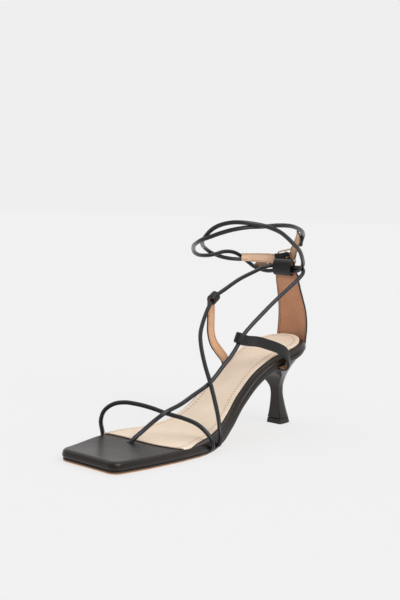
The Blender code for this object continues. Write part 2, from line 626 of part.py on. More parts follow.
def make_fastening():
    """Buckle strap, hole strap, and the centre-bar buckle with its prong."""
    middle = np.array(BUCKLE_CENTRE)
    along = unit(BUCKLE_ALONG)
    up = unit(np.array((0.0, 0.0, 1.0)) - along * along[2])
    out = np.cross(up, along)
    bar = BUCKLE_BAR / 2

    def spot(row):
        return tuple(middle + along * row[0] + out * row[1] + up * row[2])

    path = []
    for sa, su, start in ((1, 1, 0), (-1, 1, 90), (-1, -1, 180), (1, -1, 270)):
        hub = (middle + along * sa * (BUCKLE_HALF[0] - BUCKLE_CORNER)
               + up * su * (BUCKLE_HALF[1] - BUCKLE_CORNER))
        for a in np.radians((start, start + 30, start + 60, start + 90)):
            path.append(hub + BUCKLE_CORNER * (along * math.cos(a) + up * math.sin(a)))
    frame = wire("buckle_frame", path, BUCKLE_WIRE / 2, pale_gold, closed=True)
    reach = up * BUCKLE_HALF[1]
    boolean(frame, rod("buckle bar", middle - reach, middle + reach, bar, pale_gold, home=cutters), "UNION")

    hook = bar + FASTEN_GAP + PRONG_WIRE / 2
    rest = BUCKLE_WIRE / 2 + FASTEN_GAP + PRONG_WIRE / 2
    turn = [middle + hook * (along * math.cos(a) + out * math.sin(a))
            for a in np.radians(range(270, 89, -30))]
    tip = middle + along * (BUCKLE_HALF[0] + PRONG_REACH) + out * rest
    shaft = [turn[-1] + (tip - turn[-1]) * k for k in (0.5, 1.0)]
    wire("buckle_prong", turn + shaft, PRONG_WIRE / 2, pale_gold)

    fold = bar + FASTEN_GAP + FASTEN_THICK / 2
    rows = [tuple(ring_point(*row)) for row in BUCKLE_STRAP] + [spot(row) for row in BUCKLE_STRAP_OUT]
    outer = curve_through(rows + [spot((0.0, fold, 0.0))], 1.6)
    inner = curve_through([spot((0.0, -fold, 0.0))] + [spot(row) for row in BUCKLE_STRAP_BACK], 1.6)
    body = fasten_rows(outer)
    halves = list(np.linspace(*BUCKLE_STRAP_HALVES, len(body)))
    for a in np.radians((60, 30, 0, -30, -60)):
        body.append((*spot((fold * math.cos(a), fold * math.sin(a), 0.0)), *up))
    body += [(*p, *up) for p in inner]
    halves += [BUCKLE_STRAP_HALVES[1]] * (len(body) - len(halves))
    strap = ribbon("buckle_strap", body, halves, lined_leather, FASTEN_THICK)
    length, width, depth = PRONG_SLOT
    slot = [[spot((sa * length, so, su * width)) for sa, su in ((-1, -1), (1, -1), (1, 1), (-1, 1))]
            for so in (-depth, depth)]
    boolean(strap, loft("prong slot", slot, lined_leather, home=cutters), "DIFFERENCE")

    rows = list(HOLE_STRAP) + [spot(row) for row in HOLE_STRAP_THROUGH]
    rows += [tuple(ring_point(*row)) for row in HOLE_STRAP_TIP]
    body = fasten_rows(curve_through(rows, 1.6), HOLE_STRAP_TURN)
    halves = [HOLE_STRAP_HALF] * (len(body) - 4) + [HOLE_STRAP_HALF * k for k in (0.95, 0.85, 0.65, 0.3)]
    strap = ribbon("hole_strap", body, halves, lined_leather, FASTEN_THICK)
    pierce = rod("prong hole", turn[-1], tip, PRONG_WIRE / 2 + FASTEN_GAP, lined_leather, home=cutters)
    boolean(strap, pierce, "DIFFERENCE")
    for k, (a, o, u) in enumerate(SPARE_HOLES):
        ends = [np.array(spot((a, o + side, u))) for side in (-2.0, 2.0)]
        punch = rod(f"spare hole {k + 1}", *ends, HOLE_RADIUS, lined_leather, home=cutters)
        boolean(strap, punch, "DIFFERENCE")


make_outsole()
make_footbed()
make_insole()
make_heel()
make_cords()
loop_strap("medial_loop_strap", MEDIAL_STRAP, LATERAL_CORD, *MEDIAL_LOOP)
loop_strap("lateral_loop_strap", LATERAL_STRAP, LONG_CORD, *LATERAL_LOOP)
make_counter()
make_fastening()
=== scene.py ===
import math

import bmesh
import bpy
import numpy as np
from mathutils import Matrix


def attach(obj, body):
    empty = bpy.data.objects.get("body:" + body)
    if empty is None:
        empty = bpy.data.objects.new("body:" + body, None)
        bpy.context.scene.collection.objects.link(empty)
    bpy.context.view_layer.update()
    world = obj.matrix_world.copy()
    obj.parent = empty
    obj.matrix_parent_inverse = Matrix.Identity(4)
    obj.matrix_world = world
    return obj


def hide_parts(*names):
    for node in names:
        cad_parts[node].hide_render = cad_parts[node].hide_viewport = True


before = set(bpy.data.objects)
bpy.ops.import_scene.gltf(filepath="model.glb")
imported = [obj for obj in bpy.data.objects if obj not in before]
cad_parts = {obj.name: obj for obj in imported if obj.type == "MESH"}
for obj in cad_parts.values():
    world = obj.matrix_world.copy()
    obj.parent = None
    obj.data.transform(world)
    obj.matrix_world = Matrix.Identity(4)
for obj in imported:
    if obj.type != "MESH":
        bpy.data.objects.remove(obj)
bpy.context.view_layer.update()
print("frame loaded:", len(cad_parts), "nodes")

# tables are in millimetres: toe to -y, outer side of the foot at +x, floor at z = 0
mm = 0.001
boxMiddle = np.array((-3.14, -5.42, 0.0))   # drawing point that sits at the frame's origin
curveSteps = 24                              # points on each span of a curve


def toFrame(points):
    return (np.asarray(points, float) - boxMiddle) * mm


# curves through tables

def unit(v):
    v = np.asarray(v, float)
    return v / np.linalg.norm(v, axis=-1, keepdims=True)


def trend(table, column):
    # monotone cubic through one column, over the rising first column
    xs = np.array([row[0] for row in table], float)
    vs = np.array([row[column] for row in table], float)
    h = np.diff(xs)
    d = np.diff(vs) / h
    m = np.zeros_like(vs)
    for i in range(1, len(xs) - 1):
        if d[i - 1] * d[i] > 0:
            w1, w2 = 2 * h[i] + h[i - 1], h[i] + 2 * h[i - 1]
            m[i] = (w1 + w2) / (w1 / d[i - 1] + w2 / d[i])
    m[0], m[-1] = d[0], d[-1]

    def value(x):
        i = np.clip(np.searchsorted(xs, x) - 1, 0, len(h) - 1)
        t = (x - xs[i]) / h[i]
        return ((1 + 2 * t) * (1 - t) ** 2 * vs[i] + t * (1 - t) ** 2 * h[i] * m[i]
                + t * t * (3 - 2 * t) * vs[i + 1] + t * t * (t - 1) * h[i] * m[i + 1])

    return value


def runAlong(points, power=1.0):
    # length from the first point to each, with every step raised to a power
    steps = np.linalg.norm(np.diff(points[:, :3], axis=0), axis=1) ** power
    return np.concatenate(([0], np.cumsum(steps)))


def blend(t, p, q, a, b):
    return p * (b - t) / (b - a) + q * (t - a) / (b - a)


def routeThrough(rows, step):
    # evenly spaced points on a smooth curve through the rows; extra columns ride along
    pts = np.array(rows, float)
    ends = np.vstack((2 * pts[0] - pts[1], pts, 2 * pts[-1] - pts[-2]))
    knots = runAlong(ends, 0.5)
    dense = []
    for i in range(1, len(ends) - 2):
        t0, t1, t2, t3 = knots[i - 1:i + 3]
        p0, p1, p2, p3 = ends[i - 1:i + 3]
        t = np.linspace(t1, t2, curveSteps, endpoint=False)[:, None]
        a1, a2, a3 = blend(t, p0, p1, t0, t1), blend(t, p1, p2, t1, t2), blend(t, p2, p3, t2, t3)
        dense.append(blend(t, blend(t, a1, a2, t0, t2), blend(t, a2, a3, t1, t3), t1, t2))
    return evenly(np.vstack(dense + [pts[-1:]]), step)


def evenly(points, step):
    run = runAlong(points)
    count = max(2, int(round(run[-1] / step)) + 1)
    at = np.linspace(0, run[-1], count)
    return np.stack([np.interp(at, run, points[:, k]) for k in range(points.shape[1])], axis=1)


# shader nodes

def fill(tree, node, inputs):
    # sets each input, or links it where the value is another node's output
    for label, value in inputs.items():
        if isinstance(value, bpy.types.NodeSocket):
            tree.links.new(value, node.inputs[label])
        else:
            node.inputs[label].default_value = value
    return node


def addNode(tree, kind, inputs, **settings):
    node = tree.nodes.new("ShaderNode" + kind)
    for key, value in settings.items():
        setattr(node, key, value)
    return fill(tree, node, inputs)


def addMath(tree, operation, first, second):
    return addNode(tree, "Math", {0: first, 1: second}, operation=operation).outputs[0]


def addRange(tree, value, start, end, low, high, interpolation="SMOOTHSTEP"):
    limits = {"Value": value, "From Min": start, "From Max": end, "To Min": low, "To Max": high}
    return addNode(tree, "MapRange", limits, interpolation_type=interpolation).outputs["Result"]


def objectPoint(tree):
    return addNode(tree, "TexCoord", {}).outputs["Object"]


def cellPoint(tree, size):
    # the surface point in millimetres, divided by the size of one cell
    share = addMath(tree, "DIVIDE", 1 / mm, size)
    return addNode(tree, "VectorMath", {0: objectPoint(tree), "Scale": share}, operation="SCALE").outputs[0]


def addNoise(tree, size, detail, roughness=0.5):
    inputs = {"Vector": cellPoint(tree, size), "Scale": 1.0, "Detail": detail, "Roughness": roughness}
    return addNode(tree, "TexNoise", inputs).outputs["Fac"]


def addBand(tree, rows, amount):
    # a value that rises and falls again along the shoe, between four drawing positions from the toe
    along = addNode(tree, "SeparateXYZ", {0: objectPoint(tree)}).outputs["Y"]
    a, b, c, d = ((row - boxMiddle[1]) * mm for row in rows)
    rise, fall = addRange(tree, along, a, b, 0.0, 1.0), addRange(tree, along, c, d, 1.0, 0.0)
    return addMath(tree, "MULTIPLY", addMath(tree, "MULTIPLY", rise, fall), amount)


# node groups that the finishes share

leather = {
    "soften": 0.6, "valleyPower": 1.6,       # how the grain's cells round off
    "pores": 0.3, "poreDetail": 3.0,
    "slowDetail": 2.0,
    "fine": 1.2, "fineDetail": 3.0, "fineRoughness": 0.6,
    "spread": (0.3, 0.7),                    # part of the noise that is stretched to the full change of tone
    "relief": 0.4,                           # height of the grain as a share of its cell
}


def newGroup(name, inputs, output):
    group = bpy.data.node_groups.new(name, "ShaderNodeTree")
    for label, value in inputs.items():
        group.interface.new_socket(label, in_out="INPUT", socket_type="NodeSocketFloat").default_value = value
    group.interface.new_socket(output, in_out="OUTPUT", socket_type="NodeSocketFloat")
    return group, group.nodes.new("NodeGroupInput").outputs, group.nodes.new("NodeGroupOutput")


def buildGrain():
    # pebbled leather: cells with rounded tops, and a finer pore noise
    group, source, sink = newGroup("leatherGrain", {"Cell": 0.6}, "Height")
    inputs = {"Vector": cellPoint(group, source["Cell"]), "Scale": 1.0, "Smoothness": leather["soften"]}
    cells = addNode(group, "TexVoronoi", inputs, feature="SMOOTH_F1")
    valley = addMath(group, "POWER", cells.outputs["Distance"], leather["valleyPower"])
    noise = addNoise(group, source["Cell"], leather["poreDetail"])
    pores = addMath(group, "MULTIPLY", noise, leather["pores"])
    fill(group, sink, {"Height": addMath(group, "SUBTRACT", pores, valley)})
    return group


def buildMottle():
    # slow cloudy change of tone, with a little fine mottling, from 0 to 1
    group, source, sink = newGroup("mottle", {"Patch": 18.0, "Fine Share": 0.3}, "Tone")
    slow = addNoise(group, source["Patch"], leather["slowDetail"])
    fine = addNoise(group, leather["fine"], leather["fineDetail"], leather["fineRoughness"])
    share = addMath(group, "MULTIPLY", addMath(group, "SUBTRACT", fine, slow), source["Fine Share"])
    tone = addMath(group, "ADD", slow, share)
    fill(group, sink, {"Tone": addRange(group, tone, *leather["spread"], 0.0, 1.0, "LINEAR")})
    return group


leatherGrain = buildGrain()
mottle = buildMottle()
plainShine, warmShine, coolShine = (1.0, 1.0, 1.0, 1.0), (1.0, 0.9, 0.86, 1.0), (0.93, 0.96, 1.0, 1.0)


def srgb(r, g, b):
    # screen colour, 0 to 255, as the linear colour that the shader takes
    def linear(c):
        c = c / 255
        return c / 12.92 if c <= 0.04045 else ((c + 0.055) / 1.055) ** 2.4
    return (linear(r), linear(g), linear(b), 1.0)


def finish(name, light, dark, rough, cell=0.6, bump=0.1, patch=18.0, fineShare=0.3, metallic=0.0, gloss=0.5,
           tint=plainShine, sheen=0.0, dull=None):
    # one finish: two tones mottled together, a range of roughness, and a grain that lifts the normal
    mat = bpy.data.materials.new(name)
    mat.use_nodes = True
    tree = mat.node_tree
    tone = addNode(tree, "Group", {"Patch": patch, "Fine Share": fineShare}, node_tree=mottle).outputs["Tone"]
    height = addNode(tree, "Group", {"Cell": cell}, node_tree=leatherGrain).outputs["Height"]
    colour = addNode(tree, "Mix", {"Factor": tone, "A": light, "B": dark}, data_type="RGBA").outputs["Result"]
    roughness = addRange(tree, tone, 0.0, 1.0, *rough, "LINEAR")
    if dull:
        roughness = addMath(tree, "ADD", roughness, addBand(tree, *dull))
    relief = {"Strength": bump, "Distance": cell * leather["relief"] * mm, "Height": height}
    fill(tree, tree.nodes["Principled BSDF"], {
        "Base Color": colour, "Roughness": roughness, "Metallic": metallic, "Specular IOR Level": gloss,
        "Specular Tint": tint, "Sheen Weight": sheen, "Sheen Roughness": 0.5,
        "Normal": addNode(tree, "Bump", relief).outputs["Normal"]})
    return mat


def lining(name, light, dark, patch=12.0):
    return finish(name, light, dark, (0.62, 0.75), cell=0.35, bump=0.2, patch=patch, fineShare=0.5,
                  sheen=0.15)


def thread(name, light, dark, rough=(0.6, 0.75)):
    return finish(name, light, dark, rough, cell=0.16, bump=0.3, patch=2.0)


wrapLeather = finish("wrapLeather", srgb(28, 23, 21), srgb(20, 17, 15), (0.26, 0.34), cell=0.45, gloss=0.46,
                     tint=warmShine, dull=((-120.0, -80.0, -70.0, -58.0), 0.12))
heelLeather = finish("heelLeather", srgb(24, 22, 21), srgb(18, 17, 16), (0.18, 0.24), cell=0.45, bump=0.06,
                     gloss=0.46, tint=warmShine)
cordLeather = finish("cordLeather", srgb(23, 23, 25), srgb(16, 16, 18), (0.24, 0.32), cell=0.4, patch=9.0,
                     gloss=0.55, tint=coolShine)
strapLeather = finish("strapLeather", srgb(24, 22, 22), srgb(17, 16, 16), (0.34, 0.44), cell=0.42, bump=0.14,
                      gloss=0.46)
sockLeather = finish("sockLeather", srgb(244, 225, 203), srgb(235, 212, 188), (0.55, 0.68), cell=0.5,
                     patch=16.0, fineShare=0.35)
soleLeather = finish("soleLeather", srgb(205, 148, 98), srgb(180, 122, 76), (0.5, 0.65), cell=0.8, patch=22.0,
                     fineShare=0.4)
edgePaint = finish("edgePaint", srgb(56, 50, 47), srgb(42, 37, 35), (0.38, 0.5), cell=0.9, bump=0.08,
                   patch=8.0, gloss=0.46)
tipRubber = finish("tipRubber", srgb(28, 27, 27), srgb(21, 20, 20), (0.5, 0.65), cell=0.5, bump=0.2,
                   patch=5.0)
paleGold = finish("paleGold", (0.86, 0.72, 0.48, 1.0), (0.8, 0.64, 0.4, 1.0), (0.18, 0.3), cell=0.3,
                  bump=0.03, patch=3.0, metallic=1.0)
tanLining = lining("tanLining", srgb(232, 184, 146), srgb(214, 164, 126))
# painted light: a lighter copy of the tan lining, for the buckle strap, whose lining faces the light
litLining = lining("litLining", srgb(244, 205, 173), srgb(231, 188, 155))
counterLining = lining("counterLining", srgb(219, 160, 121), srgb(194, 134, 99), 14.0)
# part thread colour, part painted shade: darkened to stand in for the shade in the stitch holes
tanThreadAndHoleShade = thread("tanThreadAndHoleShade", srgb(118, 80, 58), srgb(96, 64, 46))
sockThread = thread("sockThread", srgb(164, 122, 94), srgb(138, 104, 80))
blackThread = thread("blackThread", srgb(27, 26, 28), srgb(19, 19, 21), (0.45, 0.6))
greyThread = thread("greyThread", srgb(206, 198, 190), srgb(172, 164, 156), (0.55, 0.7))
print("finishes made")


# mesh helpers

def makePiece(name, points, faces, finishes, slotOf=None, sharp=None):
    # edges that turn by more than sharp, in degrees, are drawn sharp
    mesh = bpy.data.meshes.new(name)
    mesh.from_pydata(toFrame(points).tolist(), [], faces)
    for mat in finishes:
        mesh.materials.append(mat)
    if slotOf is not None:
        mesh.polygons.foreach_set("material_index", slotOf)
    work = bmesh.new()
    work.from_mesh(mesh)
    bmesh.ops.recalc_face_normals(work, faces=work.faces)
    work.to_mesh(mesh)
    work.free()
    mesh.shade_smooth()
    if sharp:
        mesh.set_sharp_from_angle(angle=math.radians(sharp))
    piece = bpy.data.objects.new(name, mesh)
    bpy.context.scene.collection.objects.link(piece)
    return piece


def settle(piece, slotName, *nodes):
    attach(piece, "root")
    if nodes:
        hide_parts(*nodes)
    return piece


def skin(rings, closed=False):
    # quads between like rings, with flat ends on an open row
    count, n = len(rings), len(rings[0])
    faces = []
    for i in range(count if closed else count - 1):
        a, b = i * n, (i + 1) % count * n
        faces += [(a + k, a + (k + 1) % n, b + (k + 1) % n, b + k) for k in range(n)]
    if not closed:
        faces.append(tuple(range(n)))
        faces.append(tuple(range((count - 1) * n, count * n)))
    return np.vstack(rings), faces


def cutAway(piece, points, faces):
    cutter = makePiece(piece.name + ".cutter", points, faces, piece.data.materials[:1])
    mod = piece.modifiers.new("cut", "BOOLEAN")
    mod.operation = "DIFFERENCE"
    mod.object = cutter
    bpy.context.view_layer.update()
    cut = bpy.data.meshes.new_from_object(piece.evaluated_get(bpy.context.evaluated_depsgraph_get()))
    piece.modifiers.clear()
    piece.data = cut
    bpy.data.objects.remove(cutter, do_unlink=True)


def carryFrames(points, start):
    # two cross directions along a route, carried without twist from a starting side
    tangents = unit(np.gradient(points, axis=0))
    side = np.asarray(start, float)
    sides = []
    for t in tangents:
        side = unit(side - t * np.dot(side, t))
        sides.append(side)
    sides = np.array(sides)
    return sides, np.cross(tangents, sides)


stitchMesh = {"around": 8, "rings": 4, "blunt": 0.7}     # the power blunts a stitch's ends


def stitchRow(lines, length, width, height, pitch):
    # rounded thread stitches along lines of points with normals; returns points and faces
    n, rings = stitchMesh["around"], stitchMesh["rings"]
    turn = np.linspace(0, 2 * math.pi, n, endpoint=False)
    ball = [(-1.0, 0.0, 0.0)]
    for a in np.linspace(0, math.pi, rings + 2)[1:-1]:
        ball += [(-math.cos(a), math.sin(a) * math.cos(b), math.sin(a) * math.sin(b)) for b in turn]
    ball = np.array(ball + [(1.0, 0.0, 0.0)])
    ball[:, 0] = np.sign(ball[:, 0]) * np.abs(ball[:, 0]) ** stitchMesh["blunt"]
    faces = [(0, 1 + k, 1 + (k + 1) % n) for k in range(n)]
    for r in range(rings - 1):
        a, b = 1 + r * n, 1 + (r + 1) * n
        faces += [(a + k, b + k, b + (k + 1) % n, a + (k + 1) % n) for k in range(n)]
    last = len(ball) - 1
    a = last - n
    faces += [(last, a + (k + 1) % n, a + k) for k in range(n)]
    allPoints, allFaces = [], []
    for line in lines:
        rows = evenly(line, pitch)
        points, normals = rows[:, :3], unit(rows[:, 3:6])
        for p, t, up in zip(points, unit(np.gradient(points, axis=0)), normals):
            across = np.cross(up, t)
            base = len(allPoints) * len(ball)
            allPoints.append(p + ball[:, :1] * t * length / 2 + ball[:, 1:2] * across * width / 2
                             + ball[:, 2:] * up * height)
            allFaces += [tuple(base + i for i in f) for f in faces]
    return np.vstack(allPoints), allFaces


def sew(name, lines, stitch, mat, slotName):
    settle(makePiece(name, *stitchRow(lines, *stitch), [mat]), slotName)


# sole outline, shared by outsole, footbed, insole and heel seat

sole = {
    "stations": (
        # y, inner edge, outer edge, underside
        (-124.5, -22.6, 31.1, 0.5), (-108, -27, 32.8, 0.15), (-92, -31.6, 34.4, 0),
        (-78, -35, 35.4, 0), (-62, -37, 36, 0), (-46, -36.4, 35.8, 0),
        (-30, -33.4, 34.2, 1.1), (-14, -28.8, 30.8, 4.8), (2, -24.6, 26.2, 12.4),
        (20, -22.2, 22.2, 25.8), (40, -21.8, 20.8, 39.6), (60, -22.8, 22.2, 49.4),
        (84, -24.8, 25.6, 56.4), (112, -24.8, 25.6, 63.4),
    ),
    "toeFront": -124.5,
    "toeCorner": 6.5,      # plan radius of the square toe's corners
    "seatStart": 82.0,     # where the heel seat begins to round
    "seatBack": 110.0,
    "gap": 0.3,            # clearance between layers
    "across": 44,          # mesh columns from edge to edge
    "spacing": 2.0,        # mesh rows
    "toeTurns": (0, 90, 7.5), "seatTurns": (5, 88, 4),     # degrees of the rows round the toe and seat
}
innerEdge, outerEdge, underside = (trend(sole["stations"], k) for k in (1, 2, 3))


def roundInset(depth, radius):
    depth = np.clip(depth, 0, radius)
    return radius - np.sqrt(np.maximum(0.0, radius ** 2 - (radius - depth) ** 2))


def soleEdges(y, inset):
    inner, outer = innerEdge(y), outerEdge(y)
    corner = roundInset(y - (sole["toeFront"] + inset), sole["toeCorner"])
    inner, outer = inner + inset + corner, outer - inset - corner
    reach = sole["seatBack"] - inset - sole["seatStart"]
    share = np.sqrt(np.maximum(0.0, 1 - (np.maximum(0.0, y - sole["seatStart"]) / reach) ** 2))
    middle = (inner + outer) / 2
    return middle + (inner - middle) * share, middle + (outer - middle) * share


def soleRows(front, back, toeRound, seatRound):
    def degreesOf(turns):
        return np.radians(np.arange(*sole[turns]))

    rows = []
    start, end = front, back
    if toeRound:
        rows += [front + sole["toeCorner"] * (1 - math.cos(a)) for a in degreesOf("toeTurns")]
        start = front + sole["toeCorner"]
    if seatRound:
        end = sole["seatStart"]
    rows += list(np.linspace(start, end, int(round((end - start) / sole["spacing"])) + 1))
    if seatRound:
        rows += [end + (back - end) * math.sin(a) for a in degreesOf("seatTurns")]
    return np.array(rows)


def slab(name, rows, edges, profile, finishes, slots=None, warp=None):
    # a layer of the sole: a top grid, rings down its side, and a bottom grid
    # each profile row holds a function for the inset at y and one for the height at a plan point
    inner, outer = edges
    slots = slots or [0] * (len(profile) + 1)
    share = np.linspace(0, 1, sole["across"] + 1)
    last, wide = len(rows) - 1, sole["across"]
    loop = [(0, i) for i in range(last + 1)] + [(k, last) for k in range(1, wide)]
    loop += [(wide, i) for i in range(last, -1, -1)] + [(k, 0) for k in range(wide - 1, 0, -1)]
    loop = np.array(loop)
    x = inner[loop[:, 1]] + (outer - inner)[loop[:, 1]] * share[loop[:, 0]]
    edge = np.stack((x, rows[loop[:, 1]]), axis=1)
    tangent = unit(np.roll(edge, -1, axis=0) - np.roll(edge, 1, axis=0))
    inward = np.stack((tangent[:, 1], -tangent[:, 0]), axis=1)

    def ringAt(inset):
        return edge + inward * inset(edge[:, 1])[:, None]

    def place(plan, height):
        if warp:
            plan = warp(plan)
        return np.column_stack((plan, height(plan)))

    def grid(inset, height):
        ring = ringAt(inset)
        left = ring[:last + 1]
        right = ring[last + wide:2 * last + wide + 1][::-1]
        lines = left[:, None] + (right - left)[:, None] * share[None, :, None]
        return place(lines.reshape(-1, 2), height)

    gridIndex = np.arange((last + 1) * (wide + 1)).reshape(last + 1, wide + 1)
    size = gridIndex.size
    border = gridIndex[loop[:, 1], loop[:, 0]]
    points = [grid(*profile[0]), grid(*profile[-1])]
    rings = [border]
    for k, (inset, height) in enumerate(profile[1:-1]):
        rings.append(2 * size + k * len(loop) + np.arange(len(loop)))
        points.append(place(ringAt(inset), height))
    rings.append(size + border)
    quads, slotOf = [], []
    for base, slot in ((0, slots[0]), (size, slots[-1])):
        a = base + gridIndex
        quads.append(np.stack((a[:-1, :-1], a[:-1, 1:], a[1:, 1:], a[1:, :-1]), axis=-1).reshape(-1, 4))
        slotOf += [slot] * len(quads[-1])
    for k in range(len(rings) - 1):
        a, b = rings[k], rings[k + 1]
        quads.append(np.stack((a, b, np.roll(b, -1), np.roll(a, -1)), axis=-1))
        slot = slots[1 + k]
        slotOf += slot(edge[:, 1]).tolist() if callable(slot) else [slot] * len(a)
    return makePiece(name, np.vstack(points), np.vstack(quads).tolist(), finishes, slotOf)


def flatInset(inset):
    return lambda y: np.full_like(y, inset)


# wrapped footbed: a padded platform with rounded edges and the slit for the long cord

footbed = {
    "under": 2.3,          # outsole and the gap above it
    "thick": 6.0,
    "rounds": (
        # y, radius of the top edge
        (-124.5, 3.2), (-100, 2.7), (-75, 2.2), (-56, 2.2), (-40, 3.8), (-20, 4.4), (112, 4.4),
    ),
    "roundUnder": 1.2,
    "bulge": 0.22,         # how far the padded side swells
    "slit": (-3.3, -76.3), "slitHalf": (3.0, 1.8), "slitDepth": 3.2, "slitOver": 3.0, "slitSides": 28,
    "lip": 0.35, "lipReach": 3.4, "lipOval": 1.5,
    # degrees round the top edge, shares down the wall, degrees round the bottom edge
    "topTurns": (12, 24, 36, 48, 60, 72, 84), "wallShares": (0.0, 0.25, 0.5, 0.75, 1.0),
    "underTurns": (20, 40, 60, 90),
}
topRound = trend(footbed["rounds"], 1)


def footbedFloor(y):
    return underside(y) + footbed["under"]


def footbedTop(y):
    return footbedFloor(y) + footbed["thick"]


def footbedCover(plan):
    # top of the wrap, lifted a little where the cord comes through it
    away = np.hypot((plan[:, 0] - footbed["slit"][0]) / footbed["lipOval"], plan[:, 1] - footbed["slit"][1])
    return footbedTop(plan[:, 1]) + footbed["lip"] * np.exp(-(away / footbed["lipReach"]) ** 2)


def makeFootbed():
    look = footbed

    def topArc(a):
        return (lambda y: topRound(y) * (1 - math.sin(a)),
                lambda p: footbedTop(p[:, 1]) - topRound(p[:, 1]) * (1 - math.cos(a)))

    def underArc(a):
        r = look["roundUnder"]
        return flatInset(r * (1 - math.cos(a))), lambda p: footbedFloor(p[:, 1]) + r * (1 - math.sin(a))

    def wall(s):
        def height(p):
            high = footbedTop(p[:, 1]) - topRound(p[:, 1])
            low = footbedFloor(p[:, 1]) + look["roundUnder"]
            return high + (low - high) * s
        return flatInset(-look["bulge"] * math.sin(math.pi * s)), height

    profile = [(topRound, footbedCover)] + [topArc(a) for a in np.radians(look["topTurns"])]
    profile += [wall(s) for s in look["wallShares"]] + [underArc(a) for a in np.radians(look["underTurns"])]
    rows = soleRows(sole["toeFront"], sole["seatBack"], True, True)
    piece = slab("wrappedFootbed", rows, soleEdges(rows, 0.0), profile, [wrapLeather])
    high = footbedTop(look["slit"][1])
    (x, y), (halfX, halfY) = look["slit"], look["slitHalf"]
    hole = [[(x + halfX * math.cos(a), y + halfY * math.sin(a), z)
             for a in np.linspace(0, 2 * math.pi, look["slitSides"], endpoint=False)]
            for z in (high - look["slitDepth"], high + look["slitOver"])]
    cutAway(piece, *skin([np.array(r) for r in hole]))
    settle(piece, "wrap_leather", "footbed")


# outsole: thin leather, black edge, bare tan underside

outsole = {
    "thick": 2.0, "inset": 0.4, "end": 60.5, "chamfer": 0.6, "round": 0.25, "bend": 0.3,
    "bareRise": 0.95, "bareTo": -38.0,     # unpainted strip at the foot of the edge, as far as the ball
}


def makeOutsole():
    def ring(inset, rise):
        return flatInset(inset), lambda p: underside(p[:, 1]) + rise

    def bare(y):
        return (y < outsole["bareTo"]).astype(int)

    c, r, bend, high = (outsole[k] for k in ("chamfer", "round", "bend", "thick"))
    profile = [ring(r, high), ring(r * bend, high - r * bend), ring(0, high - r),
               ring(0, outsole["bareRise"]), ring(0, c), ring(c * bend, c * bend), ring(c, 0.0)]
    rows = soleRows(sole["toeFront"] + outsole["inset"], outsole["end"], True, False)
    piece = slab("leatherOutsole", rows, soleEdges(rows, outsole["inset"]), profile, [edgePaint, soleLeather],
                 [0, 0, 0, 0, bare, bare, bare, 1])
    settle(piece, "sole_leather", "outsole")


# insole: beige sock with a bowed front edge, two stitch rows, and soft creases under the toes

insole = {
    "thicks": ((-72.0, 0.9), (40.0, 0.9), (75.0, 1.7), (112.0, 1.7)),      # y, thickness, padded at the seat
    "front": -68.6,
    "bend": (-0.03, 0.0022, 0.00012), "bendReach": 40.0,     # how the front edge falls back, by powers of x
    "insets": (
        # y, inset from the inner edge, from the outer edge
        (-72, 0.6, 0.6), (-62, 0.6, 0.7), (-53, 0.9, 2.8), (-44, 2.5, 5.8), (-35, 4.8, 6.8),
        (-20, 5.2, 7), (10, 4, 7), (40, 3, 6.6), (84, 2.4, 5.6), (112, 2.8, 5.6),
    ),
    "round": 0.4, "turns": (30, 60, 90), "foot": 0.1,
    "stitchInsets": (3.5, 4.7), "stitchFront": 0.8, "stitchBack": 0.02, "stitchSink": 0.03,
    "stitch": (1.9, 0.48, 0.12, 2.9),      # length, width, height, pitch
    "creaseFade": (0.15, 0.3),             # share past a crease's end where it starts, and where it is full
    "creases": (
        # x, y of its ends, sideways bow, half width, depth
        (-8, -49.6, 16, -32.8, 0.6, 1.5, 0.52),
        (12, -35.6, 25, -25.4, -0.8, 1.6, 0.4),
        (-2, -40.6, 14, -28.6, 0.8, 2.4, -0.36),
    ),
}
innerInset, outerInset = trend(insole["insets"], 1), trend(insole["insets"], 2)
insoleThick = trend(insole["thicks"], 1)


def insoleWarp(plan):
    x, y = plan.T
    fade = np.clip(1 - (y - insole["front"]) / insole["bendReach"], 0, 1)
    return np.column_stack((x, y + fade * sum(b * x ** (k + 1) for k, b in enumerate(insole["bend"]))))


def insoleInset(y):
    return (innerInset(y) + outerInset(y)) / 2


def insoleEdges(rows, extra=0.0):
    inner, outer = soleEdges(rows, insoleInset(rows) + extra)
    shift = (innerInset(rows) - outerInset(rows)) / 2
    return inner + shift, outer + shift


def insoleBase(plan):
    inner, outer = soleEdges(plan[:, 1], 0.0)
    depth = np.minimum(plan[:, 0] - inner, outer - plan[:, 0])
    return footbedTop(plan[:, 1]) + sole["gap"] - roundInset(depth, topRound(plan[:, 1]))


def insoleTop(plan):
    # plan holds warped points; creases are soft troughs, or ridges where the depth is below zero
    z = insoleBase(plan) + insoleThick(plan[:, 1])
    for x0, y0, x1, y1, bow, width, depth in insole["creases"]:
        along = np.array((x1 - x0, y1 - y0))
        length = np.linalg.norm(along)
        along = along / length
        away = plan - np.array((x0, y0))
        s = away @ along / length
        side = away @ np.array((-along[1], along[0])) - bow * 4 * s * (1 - s)
        past, full = insole["creaseFade"]
        ends = np.clip(np.minimum(s + past, 1 + past - s) / full, 0, 1)
        z = z - depth * np.exp(-(side / width) ** 2) * ends * ends * (3 - 2 * ends)
    return z


